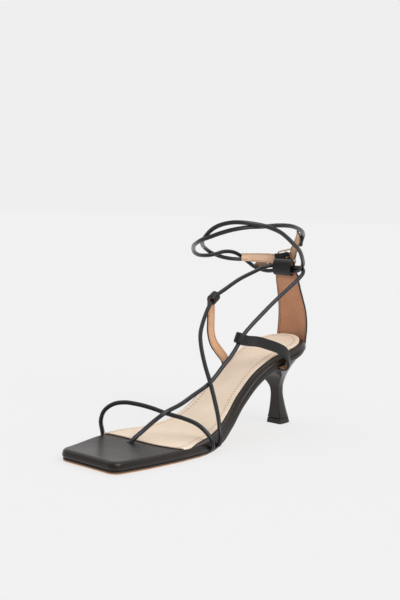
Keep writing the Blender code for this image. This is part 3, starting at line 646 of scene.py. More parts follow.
def makeInsole():
    r, foot = insole["round"], insole["foot"]
    profile = [(flatInset(r), insoleTop)]
    for a in np.radians(insole["turns"]):
        profile.append((flatInset(r * (1 - math.sin(a))),
                        lambda p, a=a: insoleTop(p) - r * (1 - math.cos(a))))
    profile += [(flatInset(0.0), lambda p: insoleBase(p) + foot), (flatInset(foot), insoleBase)]
    back = sole["seatBack"] - insoleInset(sole["seatBack"])
    rows = soleRows(insole["front"], back, False, True)
    piece = slab("sockInsole", rows, insoleEdges(rows), profile, [sockLeather], warp=insoleWarp)
    settle(piece, "sock_leather", "insole")

    lines = []
    for extra in insole["stitchInsets"]:
        start, end = insole["front"] + insole["stitchFront"], back - extra - insole["stitchBack"]
        rows = soleRows(start, end, False, True)
        inner, outer = insoleEdges(rows, extra)
        plan = np.vstack((np.column_stack((inner, rows)), np.column_stack((outer, rows))[::-1]))
        plan = insoleWarp(plan)
        # rise over one millimetre
        slope = footbedTop(plan[:, 1] + 0.5) - footbedTop(plan[:, 1] - 0.5)
        normal = np.column_stack((np.zeros_like(slope), -slope, np.ones_like(slope)))
        lines.append(np.column_stack((plan, insoleTop(plan) - insole["stitchSink"], normal)))
    sew("insoleStitching", lines, insole["stitch"], sockThread, "sock_leather")


# heel: wrapped, flat breast, narrow waist, splayed tip

heel = {
    "x": 1.2,
    "sections": (
        # z, lean, front, back, half width, share of straight side, power of the round back
        (4.6, 0, 85.6, 100.8, 6.5, 0.42, 2.7), (10, 0, 85.8, 98.6, 5.5, 0.42, 2.7),
        (18, 0, 85.7, 95.7, 4.5, 0.42, 2.7), (25, 0, 85.2, 93.7, 3.95, 0.42, 2.7),
        (30, 0.02, 84.2, 93.3, 4.4, 0.38, 2.6), (35, 0.06, 82, 92.8, 6.7, 0.28, 2.4),
        (40, 0.13, 79.2, 93.9, 10, 0.16, 2.2), (44.5, 0.19, 75.5, 95.5, 13.7, 0.1, 2.1),
        (48.5, 0.24, 71.1, 99.1, 16.6, 0.1, 2.1), (52, 0.26, 66.9, 102.8, 19, 0.14, 2.2),
    ),
    "topFront": 61.2, "topBack": 108.9,
    "topDrops": ((2.6, 3.2), (0.8, 1.0), (0.0, 0.8)),   # below the seat, inset from its edge
    "topHalf": 30.0,       # wider than the seat, whose outline trims it
    # where the breast's edge starts to round: share of the half width, share of the depth
    "corner": (0.92, 0.06),
    "breastSteps": 9, "cornerSteps": 5, "backSteps": 37,
    "between": 7,          # mesh rings between two sections
    "tipWalls": (0.08, 0.36, 0.64, 0.92),
    "tip": (85.4, 102.4, 7.0, 0.42, 2.7), "tipHeight": 4.3,
    "bevel": 0.35, "bevelRise": 0.5,       # width, and height as a share of it
}


def heelPlan(front, back, half, sideShare, backPower):
    # flat breast, straight sides, round back, with a small round on the breast's edges
    side = front + (back - front) * sideShare
    power = 2 / backPower
    edge, depth = heel["corner"][0] * half, (back - front) * heel["corner"][1]
    corner = [(edge, front), (half, front), (half, front + depth)]
    bends = np.linspace(0, 1, heel["cornerSteps"])

    def rounded(t):
        return tuple((1 - t) ** 2 * a + 2 * t * (1 - t) * b + t * t * c for a, b, c in zip(*corner))

    ring = [(-edge * k, front) for k in np.linspace(1, -1, heel["breastSteps"])]
    ring += [rounded(t) for t in bends[1:]] + [(half, (front + depth + side) / 2)]
    for a in np.radians(np.linspace(0, 180, heel["backSteps"])):
        c, s = math.cos(a), math.sin(a)
        ring.append((half * math.copysign(abs(c) ** power, c), side + (back - side) * s ** power))
    ring.append((-half, (front + depth + side) / 2))
    ring += [(-x, y) for x, y in map(rounded, bends[:0:-1])]
    return np.array(ring) + np.array((heel["x"], 0.0))


def between(rings, count):
    # rings added between the given ones, each point on its own monotone curve
    stack = np.array(rings)
    gaps = np.linalg.norm(np.diff(stack, axis=0), axis=2).mean(axis=1)
    run = np.concatenate(([0], np.cumsum(gaps)))
    at = [np.linspace(a, b, count, endpoint=False) for a, b in zip(run[:-1], run[1:])]
    at = np.concatenate(at + [run[-1:]])
    dense = np.zeros((len(at),) + stack.shape[1:])
    for i in range(stack.shape[1]):
        for k in range(3):
            dense[:, i, k] = trend(np.column_stack((run, stack[:, i, k])), 1)(at)
    return list(dense)


def bevelled(ring, amount, rise):
    # end of a section drawn in by a bevel
    middle = ring.mean(axis=0)
    flat = ring - middle
    size = np.linalg.norm(flat[:, :2], axis=1, keepdims=True)
    inner = middle + flat * np.maximum(0.0, 1 - amount / size)
    inner[:, 2] = ring[:, 2] + rise
    return inner


def makeHeel():
    rings = []
    for z, lean, *section in heel["sections"]:
        plan = heelPlan(*section)
        rings.append(np.column_stack((plan, z + lean * (plan[:, 1] - (section[0] + section[1]) / 2))))
    for drop, inset in heel["topDrops"]:
        plan = heelPlan(heel["topFront"], heel["topBack"] - inset, heel["topHalf"], *heel["tip"][3:])
        inner, outer = soleEdges(plan[:, 1], inset)
        x = np.clip(plan[:, 0], inner, outer)
        rings.append(np.column_stack((x, plan[:, 1], footbedFloor(plan[:, 1]) - sole["gap"] - drop)))
    dense = between(rings, heel["between"])
    foot = dense[0].copy()
    dense[0] = bevelled(foot, 0.0, heel["bevel"] * heel["bevelRise"])
    dense.insert(0, bevelled(foot, heel["bevel"], 0.0))
    piece = makePiece("flaredHeel", *skin(dense), [heelLeather], sharp=50)
    settle(piece, "heel_cover", "heel")

    low = np.column_stack((heelPlan(*heel["tip"]), np.zeros(len(foot))))
    high = np.column_stack((heelPlan(*heel["sections"][0][2:]), np.full(len(foot), heel["tipHeight"])))
    walls = [low + (high - low) * s for s in heel["tipWalls"]]
    rings = [bevelled(low, heel["bevel"], 0.0)] + walls + [bevelled(high, heel["bevel"], 0.0)]
    tip = makePiece("heelTopPiece", *skin(rings), [tipRubber], sharp=50)
    settle(tip, "top_piece", "heel_top_piece")


# cords: three rolled leather cords, the upper

cords = {
    "radius": 1.6,
    "step": 1.0,
    "sides": 22,
    "seam": 0.14, "seamWidth": 0.17,      # groove where the rolled leather meets, on the foot's side
    "seamColumns": (-1.6, -0.8, 0.8, 1.6),
    # unevenness of line and of thickness: size, and two wave lengths
    "wobble": (0.08, 7.3, 23.0), "swell": (0.02, 5.1, 13.7),
    "seamFrom": 7,                        # first point of the toe cord's seam that shows
    "seamSink": 0.08, "stitch": (1.0, 0.46, 0.18, 1.7),
    "ringCentre": (-3.0, 49.5), "ringRadii": (39.5, 52.0),
    "toe": (
        # both ends turn in under the footbed
        (-33.6, -68.2, 2.9), (-36.4, -68.2, 3.2), (-38.3, -68.2, 5.2), (-38.6, -69.4, 10.4),
        (-38.3, -71.2, 17.5), (-35.6, -70.8, 25), (-29.8, -67.7, 30.4), (-22, -64, 32.6), (-13, -59, 32),
        (-4, -54, 30), (6, -49, 27), (17, -43, 24.4), (25.5, -38.5, 21), (32, -35.8, 16), (36, -34, 10.5),
        (36.7, -33.6, 5.8), (35.2, -33.4, 3.9), (32.4, -33.2, 3.4),
    ),
    "lateral": (
        # the start turns in under the footbed
        (31.2, -24.9, 4.6), (34.2, -24.8, 5.2), (35.8, -24.8, 7.2), (35.9, -24.6, 11), (33, -22.5, 18.5),
        (27, -18, 27), (18.5, -12.8, 37.2), (11.6, -9.2, 45.9), (1.5, -4, 57.5), (-7, 1, 69.5),
        (-12.3, 6, 78), (-18, 16.5, 89), (-21, 25.5, 98), (-22, 31.5, 103.5), (-22, 45, 109.8),
        (-21, 62, 117.4), (-19, 79, 123.4), (-17.3, 89, 126.8), (-13.4, 95.2, 128.2), (-0.5, 95.8, 126.2),
        (9, 95.6, 125), (15.5, 93.4, 126.8), (21.5, 88.5, 131),
    ),
    "lateralRing": (
        # angle, z, offset round the ankle
        (30, 137.6, -1.2), (16, 143.6, 0), (5, 148.2, 0.6), (-14, 157.2, 1.3), (-30, 161.7, 1.3),
        (-45, 163.6, 1), (-60, 163.7, 0.5), (-73, 161.4, 0), (-83, 157.8, -0.6), (-92, 153, -1.6),
        (-103, 148.9, -4.2), (-118, 146.9, -7.6), (-134, 145.4, -9), (-148, 144.4, -7.6),
        (-162, 143.4, -3.6), (-172, 141.2, -0.8), (-180, 138.6, 0.6), (-187, 136.5, 1.3),
        (-195, 134.4, 0.8), (-205, 132.9, 0.2), (-216, 132.4, 0),
    ),
    "long": (
        (-2.6, -76.4, 4.8), (-2.4, -75.6, 9), (0.3, -66.6, 16.4), (3.2, -59, 22.4), (6.6, -51, 28),
        (7.6, -36, 32.4), (8.5, -23.7, 37.5), (9.9, -7, 45.2), (11.5, 7.4, 57.8), (12.4, 14.2, 64),
        (13.2, 20.2, 71.4), (13.7, 23.3, 75.7), (14.2, 26.2, 79.6), (17, 50, 97.6), (19.5, 71, 111.5),
        (21.2, 83, 119.4), (20.9, 90.3, 124.6), (17, 94.2, 127.8), (9, 95.8, 128), (-0.5, 95.8, 126.6),
        (-9, 95.6, 124.9),
    ),
    "longRing": (
        (113, 123.6, -2), (121, 124.2, 1.6), (128.5, 126.4, 3.2), (136, 130.8, 3.4), (143, 135.2, 3.2),
        (150, 137.8, 1.6), (157, 138.7, 0.2), (165, 138.4, -0.6), (173, 136.9, -1.3), (181, 135.9, -1),
        (189, 135.7, -0.4), (198, 136.4, 0), (207, 138.4, 0), (214, 140.7, -0.6), (225, 143, -2),
        (239, 145.2, -2), (254, 147.3, -0.4), (266, 149.9, 1.3), (277, 152.5, 1), (287, 155.3, 0.4),
        (300, 158.3, 0), (315, 160.5, -0.8), (330, 161.3, -1.3), (344, 162.4, -1), (360, 162.2, -0.8),
        (375, 160.2, -1.4), (390, 157.8, -2), (405, 156, -2.6), (415, 155.2, -2.4),
    ),
    "longEnd": ((16.9, 94.0, 155.1), (14.3, 96.8, 152.1), (11.9, 98.7, 148.8), (10.3, 100.5, 146.1)),
    "tuckRun": 4.0, "tuckSize": 0.6,       # how a tucked end thins as it enters the sole
    "seamSides": {"toe": (1, 0, 0), "lateral": (-1, 0, -0.3), "long": (0, 0.6, -0.8)},     # at each start
}


def ringPoint(angle, z, offset):
    a = math.radians(angle)
    rx, ry = cords["ringRadii"]
    cx, cy = cords["ringCentre"]
    out = unit((math.cos(a) / rx, math.sin(a) / ry, 0.0))
    return tuple(np.array((cx + rx * math.cos(a), cy + ry * math.sin(a), z)) + out * offset)


def ringOut(point):
    rx, ry = cords["ringRadii"]
    cx, cy = cords["ringCentre"]
    return unit(((point[0] - cx) / rx ** 2, (point[1] - cy) / ry ** 2, 0.0))


def makeCord(kind, rows, tucks):
    points = routeThrough(rows, cords["step"])
    sides, lifts = carryFrames(points, cords["seamSides"][kind])
    run = np.arange(len(points)) * cords["step"]

    def waver(size, first, second):
        return size * np.sin(run / first) * np.sin(run / second)

    points = points + sides * waver(*cords["wobble"])[:, None]
    radius = cords["radius"] * (1 + waver(*cords["swell"]))
    small = cords["tuckSize"]
    for tucked, away in zip(tucks, (run, run[::-1])):
        if tucked:
            radius = radius * np.clip(small + (1 - small) * away / cords["tuckRun"], 0, 1)
    turn = np.linspace(0, 2 * math.pi, cords["sides"], endpoint=False)
    seam = cords["seamWidth"] * np.array(cords["seamColumns"])
    turn = np.sort(np.concatenate((turn, seam % (2 * math.pi))))
    off = np.minimum(turn, 2 * math.pi - turn)
    shape = 1 - cords["seam"] * np.exp(-(off / cords["seamWidth"]) ** 2)
    rings = [p + r * shape[:, None] * (np.cos(turn)[:, None] * s + np.sin(turn)[:, None] * u)
             for p, r, s, u in zip(points, radius, sides, lifts)]
    piece = makePiece(kind + "Cord", *skin(rings), [cordLeather], sharp=70)
    settle(piece, "cord_leather", "crossed_cords")
    return points, sides


def makeCords():
    def wrapped(rows):
        return [ringPoint(*row) for row in rows]

    route, seam = makeCord("toe", cords["toe"], (True, True))
    shown = slice(cords["seamFrom"], -cords["seamFrom"])
    line = np.column_stack((route + seam * (cords["radius"] - cords["seamSink"]), seam))[shown]
    sew("toeCordStitches", [line], cords["stitch"], greyThread, "cord_leather")
    makeCord("lateral", [*cords["lateral"], *wrapped(cords["lateralRing"])], (True, False))
    makeCord("long", [*cords["long"], *wrapped(cords["longRing"]), *cords["longEnd"]], (False, False))


# flat straps: black leather folded over at the edges, tan lining inside

strap = {
    "thick": 1.6, "width": 8.0, "step": 1.2,
    "roundShare": 0.35,    # round of the black side's edges, as a share of the thickness
    "edgeTurns": (22, 45, 68, 90),
    "corner": 0.16,        # corner beside the lining
    "margin": 0.08, "sink": 0.05, "crown": 0.12,
    "leastFlat": 0.05, "leastLining": 0.03, "across": 9,
    "loopClearance": 0.6, "lead": 3.0, "loopTurns": (180, -72, -8),
    "stitchInset": 1.15, "stitchCrown": 0.4,
    "stitch": (1.15, 0.5, 0.13, 1.85),     # length, width, height, pitch
}


def makeRibbon(name, rows, halves, thick, outer, lined):
    # rows hold a point and the direction of its width; outer is the side that shows black
    rows = np.asarray(rows, float)
    points = rows[:, :3]
    tangents = unit(np.gradient(points, axis=0))
    wide = unit(rows[:, 3:6] - tangents * np.sum(rows[:, 3:6] * tangents, axis=1, keepdims=True))
    out = np.cross(tangents, wide) * outer
    b, r, c = thick / 2, thick * strap["roundShare"], strap["corner"]
    columns = np.linspace(-1, 1, strap["across"])
    rings = []
    for p, w, o, half in zip(points, wide, out, halves):
        flat = max(half - r, strap["leastFlat"])
        side = [(flat + r * math.sin(a), b - r * (1 - math.cos(a))) for a in np.radians(strap["edgeTurns"])]
        side += [(flat + r, -b + c), (flat + r - c, -b)]
        inside = max(flat + r - c - strap["margin"], strap["leastLining"])
        top = [(k * flat, b + strap["crown"] * (1 - k * k)) for k in columns]
        under = [(k * inside, -b + strap["sink"]) for k in columns[::-1]]
        section = np.array(top + side + under + [(-x, z) for x, z in reversed(side)])
        rings.append(p + section[:, :1] * w + section[:, 1:] * o)
    first = len(top) + len(side)
    ringSlots = [1 if first <= k < first + len(under) - 1 else 0 for k in range(len(section))]
    slots = ringSlots * (len(rings) - 1) + [0, 0]
    piece = makePiece(name, *skin(rings), [strapLeather, lined], slots, sharp=70)
    return piece, np.column_stack((points, wide, out))


def edgeStitches(name, frames, halves, thick):
    # two rows along a strap, on its lining and on its black side
    inset = (np.asarray(halves) - strap["stitchInset"])[:, None]
    for side, mat, label, rise in ((-1, tanThreadAndHoleShade, "Inside", -strap["sink"]),
                                   (1, blackThread, "Outside", strap["crown"] * strap["stitchCrown"])):
        out = frames[:, 6:9] * side
        middle = frames[:, :3] + out * (thick / 2 + rise)
        lines = [np.column_stack((middle + frames[:, 3:6] * inset * edge, out)) for edge in (-1, 1)]
        sew(name + label, lines, strap["stitch"], mat, "strap_leather")


def makeStrap(name, node, rows, halves, look, outer, lined, cuts=(), sewn=None):
    # sewn is the row where the stitches stop
    piece, frames = makeRibbon(name, rows, halves, look["thick"], outer, lined)
    for rings in cuts:
        cutAway(piece, *skin(rings))
    settle(piece, "strap_leather", node)
    edgeStitches(name + "Stitches", frames[:sewn], halves[:sewn], look["thick"])


medialStrap = {
    "rows": (
        # x, y, z, then the direction of the strap's width
        (-23.7, 51.6, 47.4, 0, 1, 0.2), (-23.9, 50.2, 53, 0, 1, 0.2),
        (-24.5, 43.6, 60, 0, 0.95, 0.3), (-25, 36.4, 68, 0, 0.95, 0.2),
        (-25.4, 33.4, 77, 0, 1, 0.1), (-25.4, 33, 86, 0, 1, 0.2),
    ),
    "cord": "lateral", "at": 13, "side": -1, "upright": 0.0, "stretch": 0.5, "outer": 1,
}
lateralStrap = {
    "rows": (
        (20.7, 68.3, 51, 0, 1, 0.25), (22.8, 68.2, 50, -0.1, 1, 0.25),
        (25.4, 68.1, 50.6, -0.36, 0.95, 0.22), (26.9, 68, 53.2, -0.52, 0.9, 0.2),
        (26.9, 67.4, 56.8, -0.44, 0.9, 0.32), (26.2, 65.6, 61, -0.16, 0.75, 0.65),
        (25.8, 61.8, 64.4, 0, 0.5, 0.85), (24.6, 56, 67.2, 0, 0.2, 1),
        (22, 47.6, 70.2, 0, 0.22, 1), (19.2, 37, 73.2, 0, 0.4, 0.95),
    ),
    "cord": "long", "at": 11, "side": 1, "upright": 0.4, "stretch": 1.6, "outer": -1,
}


def makeLoopStrap(name, node, look):
    route = np.array(cords[look["cord"]], float)
    at, upright = look["at"], look["upright"]
    centre = route[at]
    axis = unit(route[at + 1] - route[at - 1])
    axis = unit(axis * (1 - upright) + np.array((0.0, 0.0, upright)))
    radius = cords["radius"] + strap["loopClearance"] + strap["thick"] / 2
    approach = centre - np.array(look["rows"][-1][:3])
    approach = unit(approach - axis * np.dot(approach, axis))
    out = np.cross(axis, approach) * look["side"]
    reach = approach * (radius + look["stretch"])
    arc = [(*(centre + radius * out * -math.cos(a) + reach * math.sin(a)), *axis)
           for a in np.radians(np.arange(*strap["loopTurns"]))]
    lead = centre + radius * out - approach * strap["lead"]
    rows = np.vstack((routeThrough(list(look["rows"]) + [(*lead, *axis), arc[0]], strap["step"])[:-1], arc))
    makeStrap(name, node, rows, [strap["width"] / 2] * len(rows), strap, look["outer"], tanLining)


# heel counter: a strip round the back of the heel, its top folded forward into a loop for the cords

counter = {
    "thick": 1.6, "step": 1.4, "across": 21,
    "profile": (
        # x, y, z, half width, plan sagitta at the strip's edge
        (0, 111.6, 61.5, 14.6, 5), (0, 112.3, 70, 14.9, 5), (0, 112.8, 78, 14.9, 4.8),
        (0, 112.2, 86, 14.5, 4.4), (0, 110, 94, 13.8, 3.6), (-0.3, 106.4, 103, 12.8, 2.5),
        (-0.6, 102.6, 111, 12, 1.2), (-0.9, 100.2, 117, 11.6, 0.4), (-1.1, 99.2, 121.6, 11.2, 0),
        (-2, 98.9, 125, 9.4, 0), (-2.2, 98.8, 129.6, 8.9, 0), (-2.2, 97.8, 132.4, 8.9, 0),
        (-2.2, 95.6, 133.6, 8.9, 0), (-2.2, 93.5, 132.4, 8.9, 0), (-2.2, 92.6, 129.6, 8.9, 0),
        (-2.2, 92.5, 126, 8.9, 0), (-2.2, 93.2, 123, 8.9, 0), (-2.2, 95.2, 121.6, 8.9, 0),
        (-2.2, 97, 121.4, 8.9, 0),
    ),
    "margin": 0.2, "edgeTurns": (30, 60, 90, 120, 150),
    "stitchInset": 1.7, "stitchFrom": 64.0, "stitchTo": 119.4, "stitchRows": 40,
    "fold": 3.0,           # rise above the stitches where the loop starts to turn
    "crossFrom": 1.2, "crossMiddle": 0.01, "crossSteps": 9,     # the row below the loop
}


def makeCounter():
    profile = routeThrough(counter["profile"], counter["step"])
    tangents = np.gradient(profile[:, 1:3], axis=0)
    b = counter["thick"] / 2
    arc = np.radians(counter["edgeTurns"])
    rings = []
    for (x0, y, z, half, sagitta), (ty, tz) in zip(profile, tangents):
        n = unit((0.0, tz, -ty))
        flat = 1 - b / half
        shares = np.linspace(-flat, flat, counter["across"])
        shares[1], shares[-2] = -flat + counter["margin"] / half, flat - counter["margin"] / half
        line = np.array([(x0 + half * s, y - sagitta * s * s, z) for s in shares])
        ring = []
        for face, row in ((1, line), (-1, line[::-1])):
            away = unit((face, -2 * sagitta * flat / half, 0.0))
            ring += [p + n * face * b for p in row]
            ring += [row[-1] + (away * math.sin(a) + n * face * math.cos(a)) * b for a in arc]
        rings.append(np.array(ring))
    count = counter["across"]
    lined = range(count + len(arc) + 1, 2 * count + len(arc) - 2)
    ringSlots = [1 if k in lined else 0 for k in range(len(rings[0]))]
    slots = ringSlots * (len(rings) - 1) + [0, 0]
    piece = makePiece("heelCounter", *skin(rings), [strapLeather, counterLining], slots, sharp=70)
    settle(piece, "strap_leather", "heel_counter")

    # one stitch row up both edges and across below the loop, seen on both faces
    inset, low, high = counter["stitchInset"], counter["stitchFrom"], counter["stitchTo"]
    upTo = int(np.argmax(profile[:, 2] > high + counter["fold"]))

    def atHeight(z, values):
        return np.interp(z, profile[:upTo, 2], values[:upTo])

    def spotAt(z, inset, face):
        x0, y, half, sagitta = (atHeight(z, profile[:, k]) for k in (0, 1, 3, 4))
        slope = atHeight(z, tangents[:, 0] / tangents[:, 1])
        s = np.sign(inset) * (1 - abs(inset) / half)
        n = unit((2 * sagitta * s / half, 1.0, -slope)) * face
        return (*(np.array((x0 + half * s, y - sagitta * s * s, z)) + n * b), *n)

    rise = np.linspace(low, high, counter["stitchRows"])
    half = atHeight(high, profile[:, 3])
    cross = np.linspace(inset + counter["crossFrom"], half - counter["crossMiddle"], counter["crossSteps"])
    for face, mat, label in ((-1, tanThreadAndHoleShade, "Inside"), (1, blackThread, "Outside")):
        lines = [[spotAt(z, side * inset, face) for z in rise] for side in (-1, 1)]
        lines.append([spotAt(high, side, face) for side in (*-cross, *cross[::-1])])
        lines = [np.array(line) for line in lines]
        sew("heelCounterStitches" + label, lines, strap["stitch"], mat, "strap_leather")


# fastening: buckle strap, hole strap, and a centre-bar buckle with its prong

fastening = {
    "thick": 1.2, "step": 0.9, "buckleStrapHalves": (3.1, 4.5), "holeStrapHalf": 3.7, "holeStrapTurn": 0.6,
    "centre": (-7.0, 106.0, 135.0), "along": (1.0, 0.2, 0.27), "half": (7.0, 6.3), "corner": 1.6,
    "wire": 1.3, "bar": 1.2, "prongWire": 1.0, "gap": 0.25, "slot": (2.6, 0.9, 4.0), "holeRadius": 0.8,
    "prongOver": 0.9,      # how far the prong passes the frame
    "buckleStrap": ((143.5, 134.1, 0.0), (133, 134.0, 0.0), (123, 134.0, 0.0)),
    # along, out, up from the buckle's centre
    "buckleStrapOut": ((-14.5, -5.2, 2.6), (-10.5, -3.9, 1.3), (-7.0, -3.1, 0.5), (-4.6, -2.1, 0.15),
                       (-2.3, 0.4, 0)),
    "buckleStrapBack": ((-2.3, -2.1, 0.0), (-4.7, -3.55, 0.2), (-6.6, -4.45, 0.4), (-8.6, -5.0, 0.8)),
    "holeStrap": ((14.4, 91.4, 155.6), (11.5, 95.4, 151.7), (8.3, 98.1, 148.0), (5.3, 100.3, 144.6),
                  (2.3, 102.3, 141)),
    "holeStrapThrough": ((6.6, -2.0, 0.55), (3.5, 0.9, 0.24), (0.0, 3.3, 0.1), (-3.3, 1.9, 0.0),
                         (-6.4, -1.35, 0), (-8.2, -1.5, 0.05), (-10.6, -1.7, 0.1)),
    "holeStrapTip": ((114, 129.6, 3.6), (121, 128.2, 4.8), (128, 126.9, 5.8)),
    "spareHoles": ((-10.6, -1.7, 0.1), (-16.8, -3.1, -0.9)), "holeReach": 2.0,
    "holeTurn": (0.3, 0.2, 0.9),           # a direction off every hole's axis
    "cornerSteps": 9, "wireSides": 16, "prongSides": 14, "holeSides": 18, "shaftSteps": 10,
    "hookTurns": (270, 89, -15), "foldTurns": (70, -71, -20),
    "prongTaper": (0.95, 0.85, 0.7, 0.35),
    "tipRows": 7, "tipRound": 7.2,         # rows that the hole strap's end rounds over
    "stitchStops": (6, 8),                 # rows without stitches at the buckle, at the tip
}


def fastenRows(points, turn=0.0):
    rows = []
    for point, tangent in zip(points, np.gradient(points, axis=0)):
        width = np.cross(unit(ringOut(point) + np.array((0.0, turn, 0.0))), unit(tangent))
        rows.append((*point, *(width * math.copysign(1.0, width[2]))))
    return rows


def circleRings(points, us, vs, radii, sides):
    # a direction or a radius may be given once for all points
    turn = np.linspace(0, 2 * math.pi, sides, endpoint=False)[:, None]
    us, vs = np.broadcast_to(us, points.shape), np.broadcast_to(vs, points.shape)
    radii = np.broadcast_to(radii, len(points))
    return [p + r * (np.cos(turn) * u + np.sin(turn) * v) for p, u, v, r in zip(points, us, vs, radii)]


def makeFastening():
    look = fastening
    middle = np.array(look["centre"])
    along = unit(look["along"])
    up = unit(np.array((0.0, 0.0, 1.0)) - along * along[2])
    out = np.cross(up, along)
    bar = look["bar"] / 2

    def spot(row):
        return tuple(middle + along * row[0] + out * row[1] + up * row[2])

    # frame with its centre bar
    path = []
    straightX, straightZ = (half - look["corner"] for half in look["half"])
    for sa, su, start in ((1, 1, 0), (-1, 1, 90), (-1, -1, 180), (1, -1, 270)):
        hub = middle + along * sa * straightX + up * su * straightZ
        for a in np.radians(np.linspace(start, start + 90, look["cornerSteps"])):
            path.append(hub + look["corner"] * (along * math.cos(a) + up * math.sin(a)))
    path = np.array(path)
    tangents = unit(np.roll(path, -1, axis=0) - np.roll(path, 1, axis=0))
    wire, sides = look["wire"] / 2, look["wireSides"]
    framePoints, frameFaces = skin(circleRings(path, np.cross(out, tangents), out, wire, sides), True)
    line = np.array([middle + up * k * look["half"][1] for k in (-1, -0.5, 0, 0.5, 1)])
    barPoints, barFaces = skin(circleRings(line, along, out, bar, sides))
    base = len(framePoints)
    piece = makePiece("buckleFrame", np.vstack((framePoints, barPoints)),
                      frameFaces + [tuple(base + i for i in f) for f in barFaces], [paleGold], sharp=60)
    settle(piece, "gold_metal", "buckle_frame")

    # prong, hooked round the bar
    hook = bar + look["gap"] + look["prongWire"] / 2
    rest = wire + look["gap"] + look["prongWire"] / 2
    turn = [middle + hook * (along * math.cos(a) + out * math.sin(a))
            for a in np.radians(np.arange(*look["hookTurns"]))]
    tip = middle + along * (look["half"][0] + look["prongOver"]) + out * rest
    steps = look["shaftSteps"]
    route = np.array(turn + [turn[-1] + (tip - turn[-1]) * k for k in np.linspace(1 / steps, 1.0, steps)])
    radii = np.full(len(route), look["prongWire"] / 2)
    radii[-len(look["prongTaper"]):] *= look["prongTaper"]
    across = np.cross(up, unit(np.gradient(route, axis=0)))
    rings = circleRings(route, across, up, radii, look["prongSides"])
    settle(makePiece("bucklePin", *skin(rings), [paleGold], sharp=60), "gold_metal", "buckle_prong")

    # buckle strap, turned back round the bar, with a slot for the prong
    fold = bar + look["gap"] + look["thick"] / 2
    rows = [ringPoint(*row) for row in look["buckleStrap"]] + [spot(row) for row in look["buckleStrapOut"]]
    outerRun = routeThrough(rows + [spot((0.0, fold, 0.0))], look["step"])
    backRows = [spot(row) for row in look["buckleStrapBack"]]
    innerRun = routeThrough([spot((0.0, -fold, 0.0))] + backRows, look["step"])
    rows = fastenRows(outerRun)
    halves = list(np.linspace(*look["buckleStrapHalves"], len(rows)))
    rows += [(*spot((fold * math.cos(a), fold * math.sin(a), 0.0)), *up)
             for a in np.radians(np.arange(*look["foldTurns"]))]
    rows += [(*p, *up) for p in innerRun]
    halves += [look["buckleStrapHalves"][1]] * (len(rows) - len(halves))
    length, width, depth = look["slot"]
    corners = ((-1, -1), (1, -1), (1, 1), (-1, 1))
    rings = [np.array([spot((sa * length, so, su * width)) for sa, su in corners]) for so in (-depth, depth)]
    # its lining is the lighter copy of the tan lining, painted light
    makeStrap("buckleStrap", "buckle_strap", rows, halves, look, -1, litLining, [rings],
              len(outerRun) - look["stitchStops"][0])

    # hole strap, threaded through the frame
    rows = [*look["holeStrap"], *(spot(row) for row in look["holeStrapThrough"]),
            *(ringPoint(*row) for row in look["holeStrapTip"])]
    rows = fastenRows(routeThrough(rows, look["step"]), look["holeStrapTurn"])
    halves = np.full(len(rows), look["holeStrapHalf"])
    tipRows = look["tipRows"]
    halves[-tipRows:] *= np.sqrt(1 - (np.arange(1, tipRows + 1) / look["tipRound"]) ** 2)

    def bore(start, end, radius):
        axis = unit(end - start)
        u = unit(np.cross(axis, look["holeTurn"]))
        v = np.cross(axis, u)
        return circleRings(np.array((start, end)), u, v, radius, look["holeSides"])

    cuts = [bore(turn[-1], tip, look["prongWire"] / 2 + look["gap"])]
    for a, o, u in look["spareHoles"]:
        ends = (np.array(spot((a, o + k * look["holeReach"], u))) for k in (-1, 1))
        cuts.append(bore(*ends, look["holeRadius"]))
    makeStrap("holeStrap", "hole_strap", rows, halves, look, 1, tanLining, cuts, -look["stitchStops"][1])


makeOutsole()
makeFootbed()
makeInsole()
print("sole layers made")
makeHeel()
print("heel made")
makeCords()
print("cords made")
makeLoopStrap("medialLoopStrap", "medial_loop_strap", medialStrap)
makeLoopStrap("lateralLoopStrap", "lateral_loop_strap", lateralStrap)
makeCounter()
print("straps made")
makeFastening()
print("fastening made")


# floor, light and camera

studio = {
    "floorHalf": 14.0, "floorTone": srgb(239, 239, 239),
    "floorGlow": 0.8,             # share of the floor's tone that is its own, which keeps shadows faint
    "away": (-0.65, 0.76, 0.0),    # from the viewer's side to the far side
    "near": 0.47, "far": 1.06, "turn": (-0.5, 0.5),       # light on each side, and where it changes
    "overhead": 0.5, "height": (0.45, 0.85), "strength": 0.75,
    "box": (0.75, -0.1, 0.65), "boxGlow": 5.0, "boxEdge": (0.89, 0.975),    # softbox on the outer side
    "floorCells": 8,
}


def makeFloor():
    half, cells = studio["floorHalf"] / mm, studio["floorCells"]
    rim = np.linspace(-half, half, cells + 1)
    points = [(x, y, 0.0) for y in rim for x in rim]
    corners = [j * len(rim) + i for j in range(cells) for i in range(cells)]
    faces = [(k, k + 1, k + 1 + len(rim), k + len(rim)) for k in corners]
    lit = tuple(c * (1 - studio["floorGlow"]) for c in studio["floorTone"][:3]) + (1.0,)
    matte = finish("paleFloor", lit, lit, (0.9, 0.95), cell=4.0, bump=0.0, patch=300.0, gloss=0.0)
    fill(matte.node_tree, matte.node_tree.nodes["Principled BSDF"],
         {"Emission Color": studio["floorTone"], "Emission Strength": studio["floorGlow"]})
    floor = makePiece("paleFloor", points, faces, [matte])


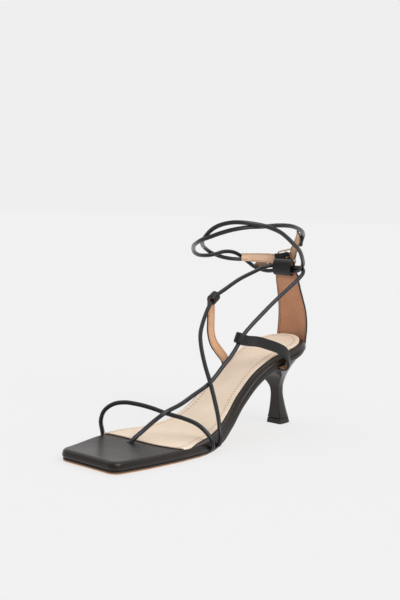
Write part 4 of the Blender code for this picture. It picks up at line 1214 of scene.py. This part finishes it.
def makeSky():
    # soft light: bright overhead and behind the shoe, dim on the viewer's side
    # a softbox shines on the outer side
    # where the camera sees past the floor it matches the floor's tone
    sky = bpy.data.worlds.new("softStudio")
    sky.use_nodes = True
    tree = sky.node_tree
    toward = addNode(tree, "TexCoord", {}).outputs["Generated"]

    def facing(direction):
        node = addNode(tree, "VectorMath", {0: toward, 1: direction}, operation="DOT_PRODUCT")
        return node.outputs["Value"]

    height = addNode(tree, "SeparateXYZ", {0: toward}).outputs["Z"]
    sides = addRange(tree, facing(studio["away"]), *studio["turn"], studio["near"], studio["far"])
    over = addRange(tree, height, *studio["height"], 0.0, studio["overhead"])
    box = addRange(tree, facing(unit(studio["box"])), *studio["boxEdge"], 0.0, studio["boxGlow"])
    light = addMath(tree, "ADD", addMath(tree, "ADD", sides, over), box)
    glow = fill(tree, tree.nodes["Background"], {"Color": light, "Strength": studio["strength"]})
    seen = addNode(tree, "Background", {"Color": studio["floorTone"]})
    direct = addNode(tree, "LightPath", {}).outputs["Is Camera Ray"]
    mix = addNode(tree, "MixShader", {0: direct, 1: glow.outputs[0], 2: seen.outputs[0]})
    fill(tree, tree.nodes["World Output"], {"Surface": mix.outputs[0]})
    bpy.context.scene.world = sky


viewpoint = {
    "place": (480.4, -566.1, 173.6),       # in the drawing's millimetres
    "yaw": 40.83, "pitch": 5.27, "roll": 1.93,
    "focal": 1000.0, "tall": 600.0,        # focal length and frame height in the picture's pixels
    "sensor": 36.0, "clip": (0.01, 60.0),
}


def makeCamera():
    yaw, pitch = math.radians(viewpoint["yaw"]), math.radians(viewpoint["pitch"])
    ahead = np.array((-math.sin(yaw) * math.cos(pitch), math.cos(yaw) * math.cos(pitch), -math.sin(pitch)))
    right = unit(np.cross(ahead, (0.0, 0.0, 1.0)))
    above = np.cross(right, ahead)
    roll = Matrix.Rotation(math.radians(viewpoint["roll"]), 3, "Z")
    turn = Matrix((right, above, -ahead)).transposed() @ roll
    data = bpy.data.cameras.new("photoView")
    data.sensor_fit = "VERTICAL"
    data.sensor_height = viewpoint["sensor"]
    data.lens = viewpoint["sensor"] * viewpoint["focal"] / viewpoint["tall"]
    data.clip_start, data.clip_end = viewpoint["clip"]
    camera = bpy.data.objects.new("photoView", data)
    camera.matrix_world = Matrix.Translation(toFrame(viewpoint["place"])) @ turn.to_4x4()
    bpy.context.scene.collection.objects.link(camera)
    bpy.context.scene.camera = camera


makeFloor()
makeSky()
makeCamera()
bpy.context.scene.view_settings.view_transform = "Standard"
print("floor, light and camera made")
